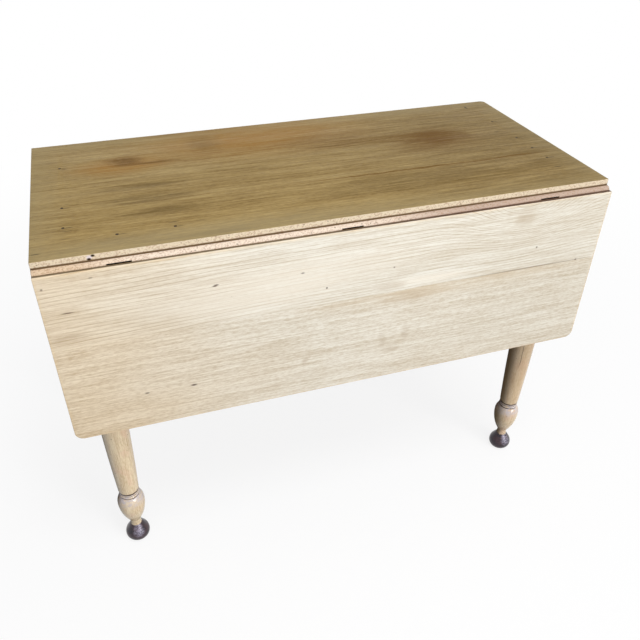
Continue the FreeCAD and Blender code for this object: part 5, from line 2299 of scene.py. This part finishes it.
    def build(self) -> None:
        """Makes the boards and the hinge plates with their screws."""
        body = f"{self.side.word}_leaf"
        for layer in Layer:
            finish, seed = self.finish(layer), 21 + self.side.value
            LeafBoard(self.places, self.side, finish, layer=layer, seed=seed).dress(body, "leaf_wood")
        for word in HINGE_WORDS:
            hinge = f"{self.side.word}_{word}_hinge"
            EasedCopy(f"{hinge}_leaf_plate", body, "hinge_iron", self.iron, self.plate_ease).dress()
            EasedCopy(f"{hinge}_top_plate", "frame", "hinge_iron", self.iron, self.plate_ease).dress()
            EasedCopy(f"{hinge}_pin", "frame", "hinge_iron", self.iron, self.pin_ease).dress()
        Fasteners(f"{body}_hinge_screws", body, "hinge_iron", self.iron, HINGE_SCREW).dress()


@dataclass
class Undercarriage:
    """Rails, fly rails, their pins and screws, and the pegs under the top."""

    iron: Finish
    peg: Finish
    pin_ease: float = 0.0004

    def rail_finish(self, word: str, seed: float) -> Finish:
        """Bare wood of one rail, cut from its own part of the log."""
        sawing = Sawing(heart=(seed, 0.05 * seed, 0.45), ring_width=0.0055, taper=0.02, waviness=0.02)
        return BareFinish(f"{word}_finish", sawing, "end_rail" in word)

    def build(self) -> None:
        """Dresses every rail, bracket, pin, screw and peg."""
        rails = ("front_rail", "rear_rail", "left_end_rail", "right_end_rail")
        for number, node in enumerate(rails, start=1):
            EasedCopy(node, "frame", "frame_wood", self.rail_finish(node, number)).dress()
        for side in Side:
            block = f"{side.word}_fly_block"
            finish = self.rail_finish(block, 5 + side.value)
            EasedCopy(block, "frame", "frame_wood", finish).dress()
            for end in End:
                fly = f"{side.word}_{end.word}_fly"
                EasedCopy(f"{fly}_bracket", fly, "frame_wood", finish).dress()
                EasedCopy(f"{fly}_pin", "frame", "hinge_iron", self.iron, self.pin_ease).dress()
        for node in ("fly_block_screws", "top_hinge_screws"):
            Fasteners(node, "frame", "hinge_iron", self.iron, HINGE_SCREW).dress()
        Fasteners("tenon_pegs", "frame", "peg_wood", self.peg, TENON_PEG).dress()


def main() -> None:
    """Builds the studio and every sub-assembly of the table in order."""
    logging.basicConfig(level=logging.INFO, format="%(message)s")
    bpy.context.scene.view_settings.view_transform = "Standard"
    places = FramePlaces.read()
    iron = IronFinish("hinge_iron_finish")
    peg_sawing = Sawing(heart=(0.0, 0.0, 0.3), ring_width=0.002, taper=0.01, waviness=0.004)
    peg = BareFinish("peg_finish", peg_sawing, pale=srgb(156, 122, 82), deep=srgb(110, 80, 50))
    Studio().build()
    PhotoCamera().build()
    FixedTop(places).build()
    for side in Side:
        Leaf(places, side, iron).build()
    turned = TurnedFinish("leg_finish", crack_place=(0.4393, -0.2062, 0.345), crack_turn=4.2)
    varnish = VarnishFinish("foot_finish")
    for side in Side:
        for end in End:
            Leg(side, end, turned, varnish).dress()
    Undercarriage(iron, peg).build()


if __name__ == "__main__":
    main()
